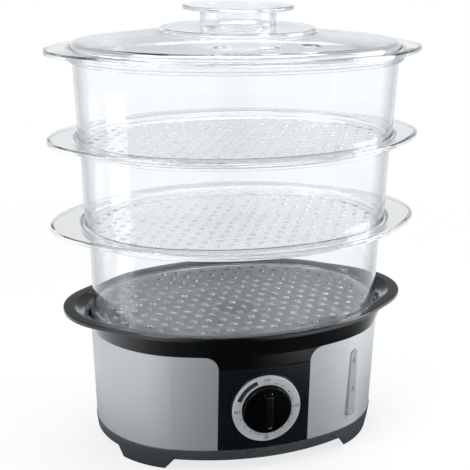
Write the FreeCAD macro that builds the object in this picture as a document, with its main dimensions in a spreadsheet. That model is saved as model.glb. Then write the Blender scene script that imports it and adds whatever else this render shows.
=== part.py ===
import FreeCAD, Part
import math
import os
import re

import Sketcher
from FreeCAD import Placement, Rotation, Vector

# Three-tier electric food steamer.
# Frame: millimetres, +Z up, X along the long side, the control panel faces -Y.
# Origin: middle of the base, on the surface that the rubber feet stand on.

# ---------------------------------------------------------------------------
# Driving dimensions. Every oval is made of four tangent arcs: two small end arcs whose
# centres lie on X, and two large side arcs whose centres lie on Y. Ovals that share their
# centres are true offsets of each other, so one end radius sets each oval of the body.
# ---------------------------------------------------------------------------
SIZES = {
    # plan of the body
    "end_centre": 43.5,
    "side_centre": 97,
    # base plate, feet and pads
    "foot_clearance": 12,
    "pad_proud": 1,
    "pad_radius": 6,
    "pad_depth": 2,
    "pad_inset": 9,
    "foot_span_x": 46.5,
    "foot_span_y": 52.3,
    "foot_draft_x": 8,
    "foot_draft_y": 3,
    "foot_taper": 2.2,
    "ring_height": 10,
    "ring_overhang": 0.6,
    "ring_draft": 1.2,
    "ring_wall": 3.4,
    "plate_floor": 2.5,
    "floor_vent_width": 4,
    "floor_vent_length": 26,
    "floor_vent_pitch": 12,
    # brushed steel wrap and the shell behind it
    "steel_end_radius": 88,
    "steel_flare": 3,
    "steel_height": 89,
    "steel_gauge": 0.8,
    "steel_corner": 12,
    "shell_gap": 0.1,
    "shell_wall": 2.2,
    "seam": 0.3,
    # control panel, dial and timer
    "panel_half_width": 41,
    "panel_wall": 2.5,
    "apron_drop": 12,
    "dial_rise": 1,
    "dial_boss_proud": 0.5,
    "dial_boss_edge": 1,
    "dial_boss_depth": 6.5,
    "dial_radius": 30.5,
    "dial_thickness": 2.4,
    "knob_radius": 21.4,
    "knob_clearance": 0.8,
    "knob_lift": 0.5,
    "knob_disc": 5.5,
    "knob_grip_width": 7,
    "knob_grip_length": 33,
    "knob_grip_rise": 6.5,
    "knob_cap": 2,
    "shaft_radius": 3,
    "shaft_flat": 2,
    "shaft_gap": 1,
    "running_fit": 0.05,
    "timer_size": 44,
    "timer_depth": 24,
    "timer_gap": 5,
    "timer_plate": 1.5,
    "timer_corner": 5,
    "timer_plate_half_height": 12,
    "timer_post_radius": 3.6,
    "bell_radius": 16,
    "bell_height": 6,
    "bell_wall": 1.2,
    "bell_pin_radius": 2.5,
    "timer_screw_spacing": 14,
    "timer_screw_length": 11,
    # upper housing with its rim, ears and water tank
    "rim_rise": 20,
    "rim_lip": 4,
    "rim_overhang": 6,
    "rim_width": 7.3,
    "ear_inset": 34,
    "ear_radius": 62,
    "ear_lip_width": 10,
    "ear_wall": 3,
    "deck": 3,
    "deck_roof": 1,
    "seat_depth": 7,
    "seat_clearance": 1.2,
    "ledge": 3,
    "tank_gap": 6.5,
    "tank_wall": 2.5,
    "tank_level": 38,
    "under_gap": 1.8,
    "alcove_side": 16,
    "alcove_gap": 5,
    "alcove_headroom": 2,
    "lug_drop": 18,
    "lug_place": 44,
    "lug_width": 8,
    "lug_height": 6,
    "boss_x": 60,
    "boss_y": 58,
    "boss_radius": 4.5,
    "boss_gap": 0.2,
    "boss_clear": 8,
    "post_wall": 1.5,
    # water gauge
    "gauge_angle": 60,
    "gauge_drop": 1.2,
    "gauge_height": 65,
    "gauge_width": 9,
    "gauge_proud": 0.45,
    "gauge_wall": 1.5,
    "gauge_flange": 2,
    "gauge_flange_depth": 1.3,
    "gauge_seal": 1.8,
    "gauge_port_edge": 2,
    # heater
    "heater_radius": 30,
    "heater_flange_radius": 40,
    "heater_flange": 3,
    "heater_rise": 3,
    "heater_lip": 4,
    "heater_dish": 2,
    "gasket": 1,
    "heater_screw_circle": 37,
    "heater_screw_wall": 1.8,
    "heater_screw_boss": 6,
    "heater_screw_grip": 3,
    "element_circle": 24,
    "element_radius": 3.3,
    "element_tail": 16,
    "element_half_gap": 30,
    "pin_radius": 1.2,
    "pin_length": 9,
    "thermostat_radius": 8.5,
    "thermostat_height": 11,
    "tab_reach": 5,
    "tab_width": 5,
    "tab_level": 2,
    "tab_gauge": 0.8,
    "fuse_gap": 2,
    "fuse_radius": 2.2,
    "fuse_length": 14,
    # parts that lift out of the tank
    "steam_ring_radius": 44,
    "steam_ring_wall": 2,
    "steam_ring_height": 36,
    "notch_width": 12,
    "notch_height": 7,
    "tray_end_gap": 22.5,
    "tray_side_gap": 5.3,
    "tray_rim": 5,
    "tray_depth": 12,
    "tray_draft": 3,
    "tray_wall": 1.8,
    "tray_clearance": 1,
    "chimney_radius": 28,
    "chimney_neck": 20,
    "chimney_rise": 10,
    # baskets
    "basket_pitch": 76,
    "flange_rise": 8.5,
    "flange_end_radius": 70,
    "flange_margin": 11.7,
    "flange_plate": 2.2,
    "flange_lip": 4.5,
    "flange_lip_wall": 2.4,
    "basket_wall": 2.2,
    "basket_foot": 2,
    "basket_foot_wall": 3.2,
    "bottom_flare": 1.5,
    "middle_step": 3.5,
    "middle_flare": 2,
    "top_step": 1.2,
    "top_flare": 3.3,
    "lid_step": 1,
    "hole_radius": 2.6,
    "hole_pitch": 13,
    "hole_margin": 9,
    # lid and its knob
    "lid_wall": 2.2,
    "lid_skirt": 13,
    "lid_dome": 8,
    "lid_plate_radius": 67.5,
    "lid_plate": 3.5,
    "vent_length": 15,
    "vent_width": 3.6,
    "vent_circle": 92,
    "vent_step": 23,
    "spool_radius": 33,
    "spool_height": 15,
    "spool_wall": 2.5,
    "spool_disc_radius": 48.2,
    "spool_disc": 3.5,
    "spigot_radius": 24,
    "spigot_wall": 3,
    "snap": 1,
    "snap_depth": 2.5,
    "fit": 0.1,
    # rear gland and wiring
    "gland_x": -30,
    "gland_level": 34,
    "gland_radius": 7,
    "gland_length": 7,
    "gland_cap": 2.5,
    "gland_flange": 10,
    "gland_bore": 4,
    "gland_stand": 2,
    "block_x": -56,
    "block_y": 34,
    "block_length": 28,
    "block_depth": 14,
    "block_height": 13,
    "block_pitch": 9,
    "block_way": 6.5,
    "wire_radius": 1.3,
    "earth_x": -34,
    "earth_y": 12,
    # screws
    "screw_radius": 1.65,
    "screw_head_radius": 3.4,
    "screw_head": 2.2,
    "screw_recess": 0.5,
    "base_screw_length": 16,
    # how far a cut runs past the material that it opens
    "overcut": 1,
}

# Heights and radii that follow from the driving dimensions.
DERIVED = {
    "ring_top": "foot_clearance + ring_height",
    "steel_top": "ring_top + steel_height",
    "panel_top": "max(steel_top - apron_drop; ring_top + 2 * (dial_rise + dial_boss_radius + seam))",
    "shoulder_radius": "min(steel_corner; steel_top - panel_top)",
    "rim_top": "steel_top + rim_rise",
    "rim_under": "rim_top - rim_lip",
    "base_seat": "rim_top - seat_depth",
    "middle_seat": "base_seat + basket_pitch",
    "top_seat": "middle_seat + basket_pitch",
    "lid_seat": "top_seat + basket_pitch",
    "steel_top_radius": "steel_end_radius + steel_flare",
    "steel_slope": "steel_flare / steel_height",
    "steel_panel_radius": "steel_top_radius - steel_slope * (steel_top - panel_top)",
    "foot_inner_x": "end_centre + steel_end_radius - foot_span_x",
    "foot_inner_y": "steel_end_radius + side_offset - side_centre - foot_span_y",
    "dial_level": "(ring_top + panel_top) / 2 + dial_rise",
    "dial_boss_radius": "dial_radius + dial_boss_edge",
    "boss_top_radius": "steel_end_radius + steel_slope * (dial_level + dial_boss_radius - ring_top)",
    "steel_deck_radius": "steel_top_radius - steel_slope * deck",
    "shell_offset": "steel_gauge + shell_gap",
    "side_offset": "sqrt(end_centre^2 + side_centre^2)",
    "ring_end_radius": "steel_end_radius + ring_overhang",
    "skirt_end_radius": "steel_top_radius + seam",
    "rim_end_radius": "steel_top_radius + rim_overhang",
    "ear_centre": "end_centre + steel_end_radius - ear_inset",
    "ear_bend": "rim_under - steel_top",
    "ear_pivot": "end_centre + skirt_end_radius - ear_centre + ear_bend",
    "recess_end_radius": "rim_end_radius - rim_width",
    "bottom_foot": "recess_end_radius - seat_clearance",
    "bottom_mouth": "bottom_foot + bottom_flare",
    "middle_foot": "bottom_mouth + middle_step",
    "middle_mouth": "middle_foot + middle_flare",
    "top_foot": "middle_mouth + top_step",
    "top_mouth": "top_foot + top_flare",
    "lid_end_radius": "top_mouth + lid_step",
    "deck_end_radius": "steel_deck_radius - shell_offset",
    "tank_end_radius": "steel_end_radius - tank_gap",
    "tank_inner": "tank_end_radius - tank_wall",
    "tank_floor": "tank_level + tank_wall",
    "dial_back": "boss_top_radius + side_offset - side_centre + dial_boss_proud",
    "knob_back": "dial_back + knob_lift",
    "knob_face": "knob_back + knob_disc",
    "grip_face": "knob_face + knob_grip_rise",
    "timer_front": "dial_back - panel_wall - timer_gap",
    "timer_back": "timer_front - timer_depth",
    "alcove_half_width": "timer_size / 2 + alcove_side",
    "alcove_back": "timer_back - bell_height - alcove_gap",
    "alcove_top": "dial_level + timer_size / 2 + alcove_headroom",
    "alcove_reach": "alcove_half_width + tank_wall",
    "shell_inside": "steel_end_radius - shell_offset - shell_wall + side_offset",
    "tank_front": "tank_end_radius + side_offset - side_centre",
    "alcove_front": "min(tank_front - overcut; sqrt(shell_inside^2 - alcove_reach^2) - side_centre)",
    "flange_half_width": "lid_end_radius + side_offset - side_centre + flange_margin",
    "flange_offset": "flange_half_width - flange_end_radius",
    "flange_side_centre": "(ear_centre^2 - flange_offset^2) / (2 * flange_offset)",
    "gauge_level": "(ring_top + steel_top) / 2 - gauge_drop",
    "gauge_rise": "gauge_level + gauge_height / 2 - ring_top",
    "gauge_face": "steel_end_radius + steel_slope * gauge_rise + gauge_proud",
    "gauge_foot": "tank_end_radius + running_fit + gauge_seal",
    "port_low": "tank_floor + gauge_port_edge",
    "port_high": "gauge_level + gauge_height / 2 - 2 * gauge_port_edge",
    "tray_side_radius": "tank_inner + side_offset - tray_side_gap",
    "tray_half_length": "end_centre + tank_inner - tray_end_gap",
    "lug_level": "base_seat - lug_drop",
    "tray_low": "max(lug_level - tray_depth; alcove_top + tank_wall + tray_clearance)",
    "lid_shoulder": "lid_seat + lid_skirt",
    "lid_plate_level": "lid_shoulder + lid_dome",
    "lid_top": "lid_plate_level + lid_plate",
    "flange_level": "tank_level - gasket - heater_flange",
    "element_level": "flange_level - element_radius - fit",
    "tail_x": "element_circle * sin(element_half_gap)",
    "tail_end": "element_circle * cos(element_half_gap) + element_tail",
    "pin_foot": "element_level - pin_radius",
    "plate_top": "foot_clearance + plate_floor",
    "screw_shelf": "plate_top + screw_head",
    "post_top": "screw_shelf + post_wall",
    "pilot_radius": "screw_radius + running_fit",
    "lug_corner": "lug_place - lug_width / 2",
    "lug_reach": "sqrt((tray_side_radius - tray_rim)^2 - lug_corner^2) - side_centre + tray_clearance",
    "way_level": "plate_top + block_way",
    "timer_under": "dial_level - timer_size / 2",
    "timer_tab_x": "timer_size / 4",
    "timer_tab_y": "-(timer_back + timer_front) / 2",
}

doc = FreeCAD.newDocument("food_steamer")
sheet = doc.addObject("Spreadsheet::Sheet", "Size")
for row, (alias, amount) in enumerate(SIZES.items(), start=1):
    sheet.set("A%d" % row, alias)
    sheet.set("B%d" % row, str(amount))
    sheet.setAlias("B%d" % row, alias)
doc.recompute()

NODES = []


def formula(text):
    """Spell an expression out in cells of the sheet."""
    def spell(match):
        word = match.group(0)
        if word in DERIVED:
            return "(" + formula(DERIVED[word]) + ")"
        return "Size." + word if word in SIZES else word
    return re.sub(r"[a-z_]+", spell, str(text))


def size(text):
    """The number that an expression comes to, in millimetres or degrees."""
    result = sheet.evalExpression(formula(text))
    return float(getattr(result, "Value", result))


def bind(target, prop, text):
    target.setExpression(prop, formula(text))


# ---------------------------------------------------------------------------
# Sketches
# ---------------------------------------------------------------------------
def new_body(label):
    body = doc.addObject("PartDesign::Body", label)
    body.Label = label
    NODES.append(body)
    return body


def plane_of(body, role):
    return next(item for item in body.Origin.OriginFeatures if item.Role == role)


def sketch_on(body, name, role, level="0", along="0", up="0"):
    """A sketch on one of the body's own planes, moved along its normal and in its plane."""
    sketch = body.newObject("Sketcher::SketchObject", name)
    sketch.AttachmentSupport = [(plane_of(body, role), "")]
    sketch.MapMode = "FlatFace"
    bind(sketch, ".AttachmentOffset.Base.x", along)
    bind(sketch, ".AttachmentOffset.Base.y", up)
    bind(sketch, ".AttachmentOffset.Base.z", level)
    return sketch


def flat_sketch(body, name, level):
    return sketch_on(body, name, "XY_Plane", level)


def front_sketch(body, name, distance="0", up="0", along="0"):
    """A sketch that faces the front, at a distance in front of the middle."""
    return sketch_on(body, name, "XZ_Plane", distance, along, up)


def arc_of(x, y, radius, start, end):
    circle = Part.Circle(Vector(x, y, 0), Vector(0, 0, 1), radius)
    return Part.ArcOfCircle(circle, start, end)


def drive(sketch, kind, places, text):
    """Add a driven dimension and bind it to an expression."""
    index = sketch.addConstraint(Sketcher.Constraint(kind, *places, size(text)))
    label = "size%d" % index
    sketch.renameConstraint(index, label)
    sketch.setExpression("Constraints." + label, formula(text))


def pin(sketch, geometry, point, x, y):
    """Hold a point at x, y from the sketch's origin."""
    for kind, axis, text in (("DistanceX", -2, x), ("DistanceY", -1, y)):
        if str(text) == "0":
            sketch.addConstraint(Sketcher.Constraint("PointOnObject", geometry, point, axis))
        else:
            drive(sketch, kind, (-1, 1, geometry, point), text)


def add_oval(sketch, end_radius, end_centre="end_centre", side_centre="side_centre"):
    """A closed oval of four tangent arcs."""
    near, far, radius = size(end_centre), size(side_centre), size(end_radius)
    joint = math.atan2(far, near)
    side = radius + math.hypot(near, far)
    right = sketch.addGeometry(arc_of(near, 0, radius, -joint, joint))
    back = sketch.addGeometry(arc_of(0, -far, side, joint, math.pi - joint))
    left = sketch.addGeometry(arc_of(-near, 0, radius, math.pi - joint, math.pi + joint))
    front = sketch.addGeometry(arc_of(0, far, side, math.pi + joint, 2 * math.pi - joint))
    rule = Sketcher.Constraint
    sketch.addConstraint([
        rule("Tangent", right, 2, back, 1),
        rule("Coincident", back, 2, left, 1),
        rule("Coincident", left, 2, front, 1),
        rule("Coincident", front, 2, right, 1),
        rule("PointOnObject", right, 3, -1),
        rule("PointOnObject", left, 3, -1),
        rule("PointOnObject", back, 3, -2),
        rule("Horizontal", back, 1, back, 2),
        rule("Vertical", right, 1, right, 2),
        rule("Vertical", left, 1, left, 2),
        rule("Equal", right, left),
        rule("Equal", back, front),
    ])
    drive(sketch, "Radius", (right,), end_radius)
    drive(sketch, "DistanceX", (-1, 1, right, 3), end_centre)
    drive(sketch, "DistanceY", (back, 3, -1, 1), side_centre)


def add_flange_oval(sketch, inset="0"):
    add_oval(sketch, "flange_end_radius - (%s)" % inset, "ear_centre", "flange_side_centre")


def add_circle(sketch, radius, x="0", y="0"):
    circle = sketch.addGeometry(
        Part.Circle(Vector(size(x), size(y), 0), Vector(0, 0, 1), size(radius)))
    pin(sketch, circle, 3, x, y)
    drive(sketch, "Radius", (circle,), radius)


def add_outline(sketch, points):
    """A closed outline of straight lines through points given as expressions."""
    places = [Vector(size(x), size(y), 0) for x, y in points]
    lines = [sketch.addGeometry(Part.LineSegment(a, b))
             for a, b in zip(places, places[1:] + places[:1])]
    for line, following in zip(lines, lines[1:] + lines[:1]):
        sketch.addConstraint(Sketcher.Constraint("Coincident", line, 2, following, 1))
    for line, (x, y) in zip(lines, points):
        pin(sketch, line, 1, x, y)


def add_box(sketch, x_low, x_high, y_low, y_high):
    add_outline(sketch, [(x_low, y_low), (x_high, y_low), (x_high, y_high), (x_low, y_high)])


def add_side_arc(sketch, radius, half_width, front):
    """One of the oval's side arcs, cut off at a half width; returns it with its right and left ends."""
    reach, far, swing = size(half_width), size("side_centre"), size(radius)
    half = math.asin(reach / swing)
    middle, across = (-math.pi / 2, far) if front else (math.pi / 2, -far)
    arc = sketch.addGeometry(arc_of(0, across, swing, middle - half, middle + half))
    right, left = (2, 1) if front else (1, 2)
    sketch.addConstraint(Sketcher.Constraint("PointOnObject", arc, 3, -2))
    drive(sketch, "Radius", (arc,), radius)
    drive(sketch, "DistanceY", (-1, 1, arc, 3) if front else (arc, 3, -1, 1), "side_centre")
    drive(sketch, "DistanceX", (-1, 1, arc, right), half_width)
    drive(sketch, "DistanceX", (arc, left, -1, 1), half_width)
    return arc, right, left


def join_arcs(sketch, first, second):
    """Close two side arcs into an outline with a straight line at each end."""
    for end in (1, 2):
        line = sketch.addGeometry(Part.LineSegment(
            sketch.getPoint(first[0], first[end]), sketch.getPoint(second[0], second[end])))
        sketch.addConstraint(Sketcher.Constraint("Coincident", line, 1, first[0], first[end]))
        sketch.addConstraint(Sketcher.Constraint("Coincident", line, 2, second[0], second[end]))


def add_band(sketch, half_width, outer, inner, front=True):
    """A strip along the front or back side of the oval, between two end radii."""
    arcs = [add_side_arc(sketch, "(%s) + side_offset" % end_radius, half_width, front)
            for end_radius in (outer, inner)]
    join_arcs(sketch, *arcs)


def add_barrel(sketch, side_radius, half_length):
    """Both side arcs of an oval, joined by straight ends."""
    arcs = [add_side_arc(sketch, side_radius, half_length, front) for front in (True, False)]
    join_arcs(sketch, *arcs)


def add_slot(sketch, width, height, x="0", y="0"):
    """An upright slot with round ends."""
    radius, reach = size(width) / 2, (size(height) - size(width)) / 2
    middle_x, middle_y = size(x), size(y)
    top = sketch.addGeometry(arc_of(middle_x, middle_y + reach, radius, 0, math.pi))
    bottom = sketch.addGeometry(arc_of(middle_x, middle_y - reach, radius, math.pi, 2 * math.pi))
    sides = []
    for side in (-radius, radius):
        ends = [Vector(middle_x + side, middle_y + rise, 0) for rise in (reach, -reach)]
        sides.append(sketch.addGeometry(Part.LineSegment(*ends)))
    left, right = sides
    rule = Sketcher.Constraint
    sketch.addConstraint([
        rule("Tangent", top, 2, left, 1),
        rule("Tangent", left, 2, bottom, 1),
        rule("Tangent", bottom, 2, right, 2),
        rule("Tangent", right, 1, top, 1),
        rule("Equal", top, bottom),
    ])
    pin(sketch, top, 3, x, "(%s) + ((%s) - (%s)) / 2" % (y, height, width))
    pin(sketch, bottom, 3, x, "(%s) - ((%s) - (%s)) / 2" % (y, height, width))
    drive(sketch, "Radius", (top,), "(%s) / 2" % width)


# ---------------------------------------------------------------------------
# Features
# ---------------------------------------------------------------------------
def grown(body, feature, before):
    doc.recompute()
    if not feature.isValid() or body.Shape.Volume <= before:
        raise RuntimeError("%s adds nothing to %s" % (feature.Name, body.Label))
    return feature


def shrunk(body, feature, before):
    doc.recompute()
    if not feature.isValid() or body.Shape.Volume >= before:
        raise RuntimeError("%s cuts nothing from %s" % (feature.Name, body.Label))
    return feature


def volume(body):
    return body.Shape.Volume if body.Tip else 0.0


def pad(body, sketch, length, backwards=False):
    before = volume(body)
    feature = body.newObject("PartDesign::Pad", sketch.Name + "_pad")
    feature.Profile = sketch
    feature.Reversed = backwards
    bind(feature, "Length", length)
    return grown(body, feature, before)


def pocket(body, sketch, depth, onwards=False, both_ways=False):
    """Cut against the sketch's normal, along it when onwards, or both ways."""
    before = volume(body)
    feature = body.newObject("PartDesign::Pocket", sketch.Name + "_cut")
    feature.Profile = sketch
    feature.Reversed = onwards
    feature.Midplane = both_ways
    bind(feature, "Length", depth)
    return shrunk(body, feature, before)


def loft(body, sections, cut=False):
    before = volume(body)
    kind = "SubtractiveLoft" if cut else "AdditiveLoft"
    feature = body.newObject("PartDesign::" + kind, sections[0].Name + "_loft")
    feature.Profile = sections[0]
    feature.Sections = sections[1:]
    feature.Ruled = True
    return (shrunk if cut else grown)(body, feature, before)


def revolve(body, sketch, axis="V_Axis", cut=False):
    before = volume(body)
    kind = "Groove" if cut else "Revolution"
    feature = body.newObject("PartDesign::" + kind, sketch.Name + "_turn")
    feature.Profile = sketch
    feature.ReferenceAxis = (sketch, [axis])
    feature.Angle = 360
    return (shrunk if cut else grown)(body, feature, before)


def round_edges(body, feature, radius, wanted):
    """Fillet the edges that the test picks."""
    edges = ["Edge%d" % number
             for number, edge in enumerate(feature.Shape.Edges, start=1) if wanted(edge)]
    rounding = body.newObject("PartDesign::Fillet", feature.Name + "_rounding")
    rounding.Base = (feature, edges)
    bind(rounding, "Radius", radius)
    doc.recompute()
    return rounding


def mirror(body, features, role="YZ_Plane"):
    feature = body.newObject("PartDesign::Mirrored", features[0].Name + "_mirror")
    feature.Originals = features
    feature.MirrorPlane = (plane_of(body, role), [""])
    body.Tip = feature
    doc.recompute()
    return feature


def ring_pattern(body, features, count):
    """Repeat features round the vertical axis."""
    feature = body.newObject("PartDesign::PolarPattern", features[0].Name + "_ring")
    feature.Originals = features
    feature.Axis = (next(item for item in body.Origin.OriginFeatures if item.Role == "Z_Axis"), [""])
    feature.Angle = 360
    feature.Occurrences = count
    body.Tip = feature
    doc.recompute()
    return feature


def flat_oval(body, name, level, end_radius):
    sketch = flat_sketch(body, name, level)
    add_oval(sketch, end_radius)
    return sketch


def flat_circles(body, name, level, radius, places):
    sketch = flat_sketch(body, name, level)
    for x, y in places:
        add_circle(sketch, radius, x, y)
    return sketch


def four_corners(x, y):
    return [("%s(%s)" % (a, x), "%s(%s)" % (b, y)) for a in ("", "-") for b in ("", "-")]


SCREW_CORNERS = four_corners("boss_x", "boss_y")
PAD_CORNERS = four_corners("foot_inner_x + pad_inset", "foot_inner_y + pad_inset")


def gauge_sketch(body, name, reach):
    """A sketch square to the water gauge's line of sight, at a distance from the end centre."""
    sketch = sketch_on(body, name, "XZ_Plane",
                       "(%s) * sin(gauge_angle)" % reach,
                       "end_centre + (%s) * cos(gauge_angle)" % reach)
    sketch.AttachmentOffset = Placement(
        sketch.AttachmentOffset.Base, Rotation(Vector(0, 1, 0), 90 - size("gauge_angle")))
    bind(sketch, ".AttachmentOffset.Rotation.Angle", "90 - gauge_angle")
    return sketch


# ---------------------------------------------------------------------------
# Base plate with its four feet
# ---------------------------------------------------------------------------
def make_base_plate():
    body = new_body("base_plate")
    ring_low = "ring_end_radius - ring_draft"
    loft(body, [flat_oval(body, "foot_low", "pad_proud", ring_low + " - foot_taper"),
                flat_oval(body, "foot_high", "foot_clearance", ring_low)])
    loft(body, [flat_oval(body, "ring_low", "foot_clearance", ring_low),
                flat_oval(body, "ring_high", "ring_top", "ring_end_radius")])
    for role, inner, top in (("XZ_Plane", "foot_inner_x", "foot_inner_x - foot_draft_x"),
                             ("YZ_Plane", "foot_inner_y", "foot_inner_y - foot_draft_y")):
        gap = sketch_on(body, "gap_" + role, role)
        add_outline(gap, [("-(%s)" % inner, "0"), (inner, "0"),
                          (top, "foot_clearance"), ("-(%s)" % top, "foot_clearance")])
        pocket(body, gap, "4 * ring_end_radius", both_ways=True)
    well = flat_oval(body, "well", "ring_top", "ring_end_radius - ring_wall")
    pocket(body, well, "ring_height - plate_floor")
    posts = flat_circles(body, "posts", "foot_clearance", "boss_radius + post_wall", SCREW_CORNERS)
    pad(body, posts, "post_top - foot_clearance")
    head_radius = "screw_head_radius + screw_recess"
    heads = flat_circles(body, "heads", "foot_clearance", head_radius, SCREW_CORNERS)
    pocket(body, heads, "plate_floor + screw_head", onwards=True)
    shanks = flat_circles(body, "shanks", "foot_clearance", "screw_radius + screw_recess", SCREW_CORNERS)
    pocket(body, shanks, "ring_height", onwards=True)
    pads = flat_circles(body, "pads", "0", "pad_radius + seam / 2", PAD_CORNERS)
    pocket(body, pads, "pad_proud + pad_depth", onwards=True)
    vents = flat_sketch(body, "vents", "foot_clearance")
    for step in range(-3, 4):
        add_slot(vents, "floor_vent_width", "floor_vent_length", "%d * floor_vent_pitch" % step)
    pocket(body, vents, "plate_floor * 2", both_ways=True)


def make_foot_pads():
    body = new_body("foot_pads")
    body.AllowCompound = True
    pad(body, flat_circles(body, "discs", "0", "pad_radius", PAD_CORNERS), "pad_proud + pad_depth")


# ---------------------------------------------------------------------------
# Steel wrap, the shell behind it and the control panel between its ends
# ---------------------------------------------------------------------------
def cut_front_opening(body):
    """Open the front from the bottom up, with round shoulders that spread it at the top."""
    opening = front_sketch(body, "opening")
    half_width, spread = "panel_half_width + seam", "panel_half_width + shoulder_radius"
    side, shoulder, radius = size(half_width), size(spread), size("shoulder_radius - seam")
    below, turn, above = size("ring_top - overcut"), size("panel_top"), size("steel_top + overcut")
    rule = Sketcher.Constraint
    bottom = sketch_line(opening, (-side, below), (side, below))
    right = sketch_line(opening, (side, below), (side, turn))
    right_turn = opening.addGeometry(arc_of(shoulder, turn, radius, math.pi / 2, math.pi))
    right_lip = sketch_line(opening, (shoulder, turn + radius), (shoulder, above))
    roof = sketch_line(opening, (shoulder, above), (-shoulder, above))
    left_lip = sketch_line(opening, (-shoulder, above), (-shoulder, turn + radius))
    left_turn = opening.addGeometry(arc_of(-shoulder, turn, radius, 0, math.pi / 2))
    left = sketch_line(opening, (-side, turn), (-side, below))
    opening.addConstraint([
        rule("Coincident", bottom, 2, right, 1), rule("Coincident", right, 2, right_turn, 2),
        rule("Coincident", right_turn, 1, right_lip, 1), rule("Coincident", right_lip, 2, roof, 1),
        rule("Coincident", roof, 2, left_lip, 1), rule("Coincident", left_lip, 2, left_turn, 2),
        rule("Coincident", left_turn, 1, left, 1), rule("Coincident", left, 2, bottom, 1),
    ])
    pin(opening, bottom, 1, "-(%s)" % half_width, "ring_top - overcut")
    pin(opening, bottom, 2, half_width, "ring_top - overcut")
    for turn_arc, sign in ((right_turn, ""), (left_turn, "-")):
        pin(opening, turn_arc, 3, "%s(%s)" % (sign, spread), "panel_top")
    drive(opening, "DistanceX", (-1, 1, right, 2), half_width)
    drive(opening, "DistanceY", (-1, 1, right, 2), "panel_top")
    drive(opening, "DistanceX", (left, 1, -1, 1), half_width)
    drive(opening, "DistanceY", (-1, 1, left, 1), "panel_top")
    drive(opening, "DistanceX", (-1, 1, right_lip, 1), spread)
    drive(opening, "DistanceX", (left_lip, 2, -1, 1), spread)
    pin(opening, roof, 1, spread, "steel_top + overcut")
    pin(opening, roof, 2, "-(%s)" % spread, "steel_top + overcut")
    pocket(body, opening, "2 * rim_end_radius", onwards=True)


def sketch_line(sketch, start, end):
    return sketch.addGeometry(Part.LineSegment(Vector(*start, 0), Vector(*end, 0)))


def cut_gauge_slot(body):
    slot = gauge_sketch(body, "gauge_slot", "tank_inner")
    add_gauge_slot(slot, "seam")
    pocket(body, slot, "rim_end_radius - tank_inner", onwards=True)


def cut_gland_hole(body):
    hole = front_sketch(body, "gland_hole", up="gland_level", along="gland_x")
    add_circle(hole, "gland_radius + seam")
    pocket(body, hole, "2 * rim_end_radius")


def make_steel_wrap():
    body = new_body("steel_wrap")
    loft(body, [flat_oval(body, "outer_low", "ring_top", "steel_end_radius"),
                flat_oval(body, "outer_high", "steel_top", "steel_top_radius")])
    loft(body, [flat_oval(body, "inner_low", "ring_top", "steel_end_radius - steel_gauge"),
                flat_oval(body, "inner_high", "steel_top", "steel_top_radius - steel_gauge")], cut=True)
    cut_front_opening(body)
    cut_gauge_slot(body)
    cut_gland_hole(body)


def make_lower_shell():
    body = new_body("lower_shell")
    high = "steel_top - deck"
    loft(body, [flat_oval(body, "outer_low", "ring_top", "steel_end_radius - shell_offset"),
                flat_oval(body, "outer_high", high, "steel_deck_radius - shell_offset")])
    inset = "shell_offset + shell_wall"
    loft(body, [flat_oval(body, "inner_low", "ring_top", "steel_end_radius - (%s)" % inset),
                flat_oval(body, "inner_high", high, "steel_deck_radius - (%s)" % inset)], cut=True)
    cut_front_opening(body)
    cut_gauge_slot(body)
    cut_gland_hole(body)


def timer_pair(body, name, distance, radius):
    """Two circles where the screws hold the timer to the panel."""
    sketch = front_sketch(body, name, distance, up="dial_level")
    for side in ("", "-"):
        add_circle(sketch, radius, "%stimer_screw_spacing" % side)
    return sketch


def make_control_panel():
    body = new_body("control_panel")
    sections = []
    for name, level, outer in (("low", "ring_top", "steel_end_radius"),
                               ("high", "panel_top - seam", "steel_panel_radius")):
        band = flat_sketch(body, name, level)
        add_band(band, "panel_half_width", outer, "%s - panel_wall" % outer)
        sections.append(band)
    loft(body, sections)
    boss = front_sketch(body, "dial_boss", "dial_back", up="dial_level")
    add_circle(boss, "dial_boss_radius")
    pad(body, boss, "dial_boss_depth", backwards=True)
    posts = timer_pair(body, "timer_posts", "timer_front", "timer_post_radius")
    pad(body, posts, "timer_gap + panel_wall")
    pocket(body, timer_pair(body, "screw_bores", "dial_back", "pilot_radius"), "dial_back - timer_front")
    heads = timer_pair(body, "screw_heads", "dial_back", "screw_head_radius + running_fit")
    pocket(body, heads, "screw_head")
    bore = front_sketch(body, "shaft_bore", "dial_back", up="dial_level")
    add_circle(bore, "shaft_radius + shaft_gap")
    pocket(body, bore, "dial_back - timer_front")


# ---------------------------------------------------------------------------
# Dial ring, knob, shaft and mechanical timer
# ---------------------------------------------------------------------------
def make_dial_ring():
    body = new_body("dial_ring")
    ring = front_sketch(body, "ring", "dial_back", up="dial_level")
    add_circle(ring, "dial_radius")
    add_circle(ring, "knob_radius + knob_clearance")
    pad(body, ring, "dial_thickness")


def make_timer_knob():
    body = new_body("timer_knob")
    disc = front_sketch(body, "disc", "knob_back", up="dial_level")
    add_circle(disc, "knob_radius")
    pad(body, disc, "knob_disc")
    grip = front_sketch(body, "grip", "knob_face", up="dial_level")
    add_slot(grip, "knob_grip_width", "knob_grip_length")
    pad(body, grip, "knob_grip_rise")
    bore = front_sketch(body, "bore", "knob_back", up="dial_level")
    add_d_shape(bore, "running_fit / 2")
    pocket(body, bore, "knob_disc + knob_grip_rise - knob_cap", onwards=True)


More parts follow.
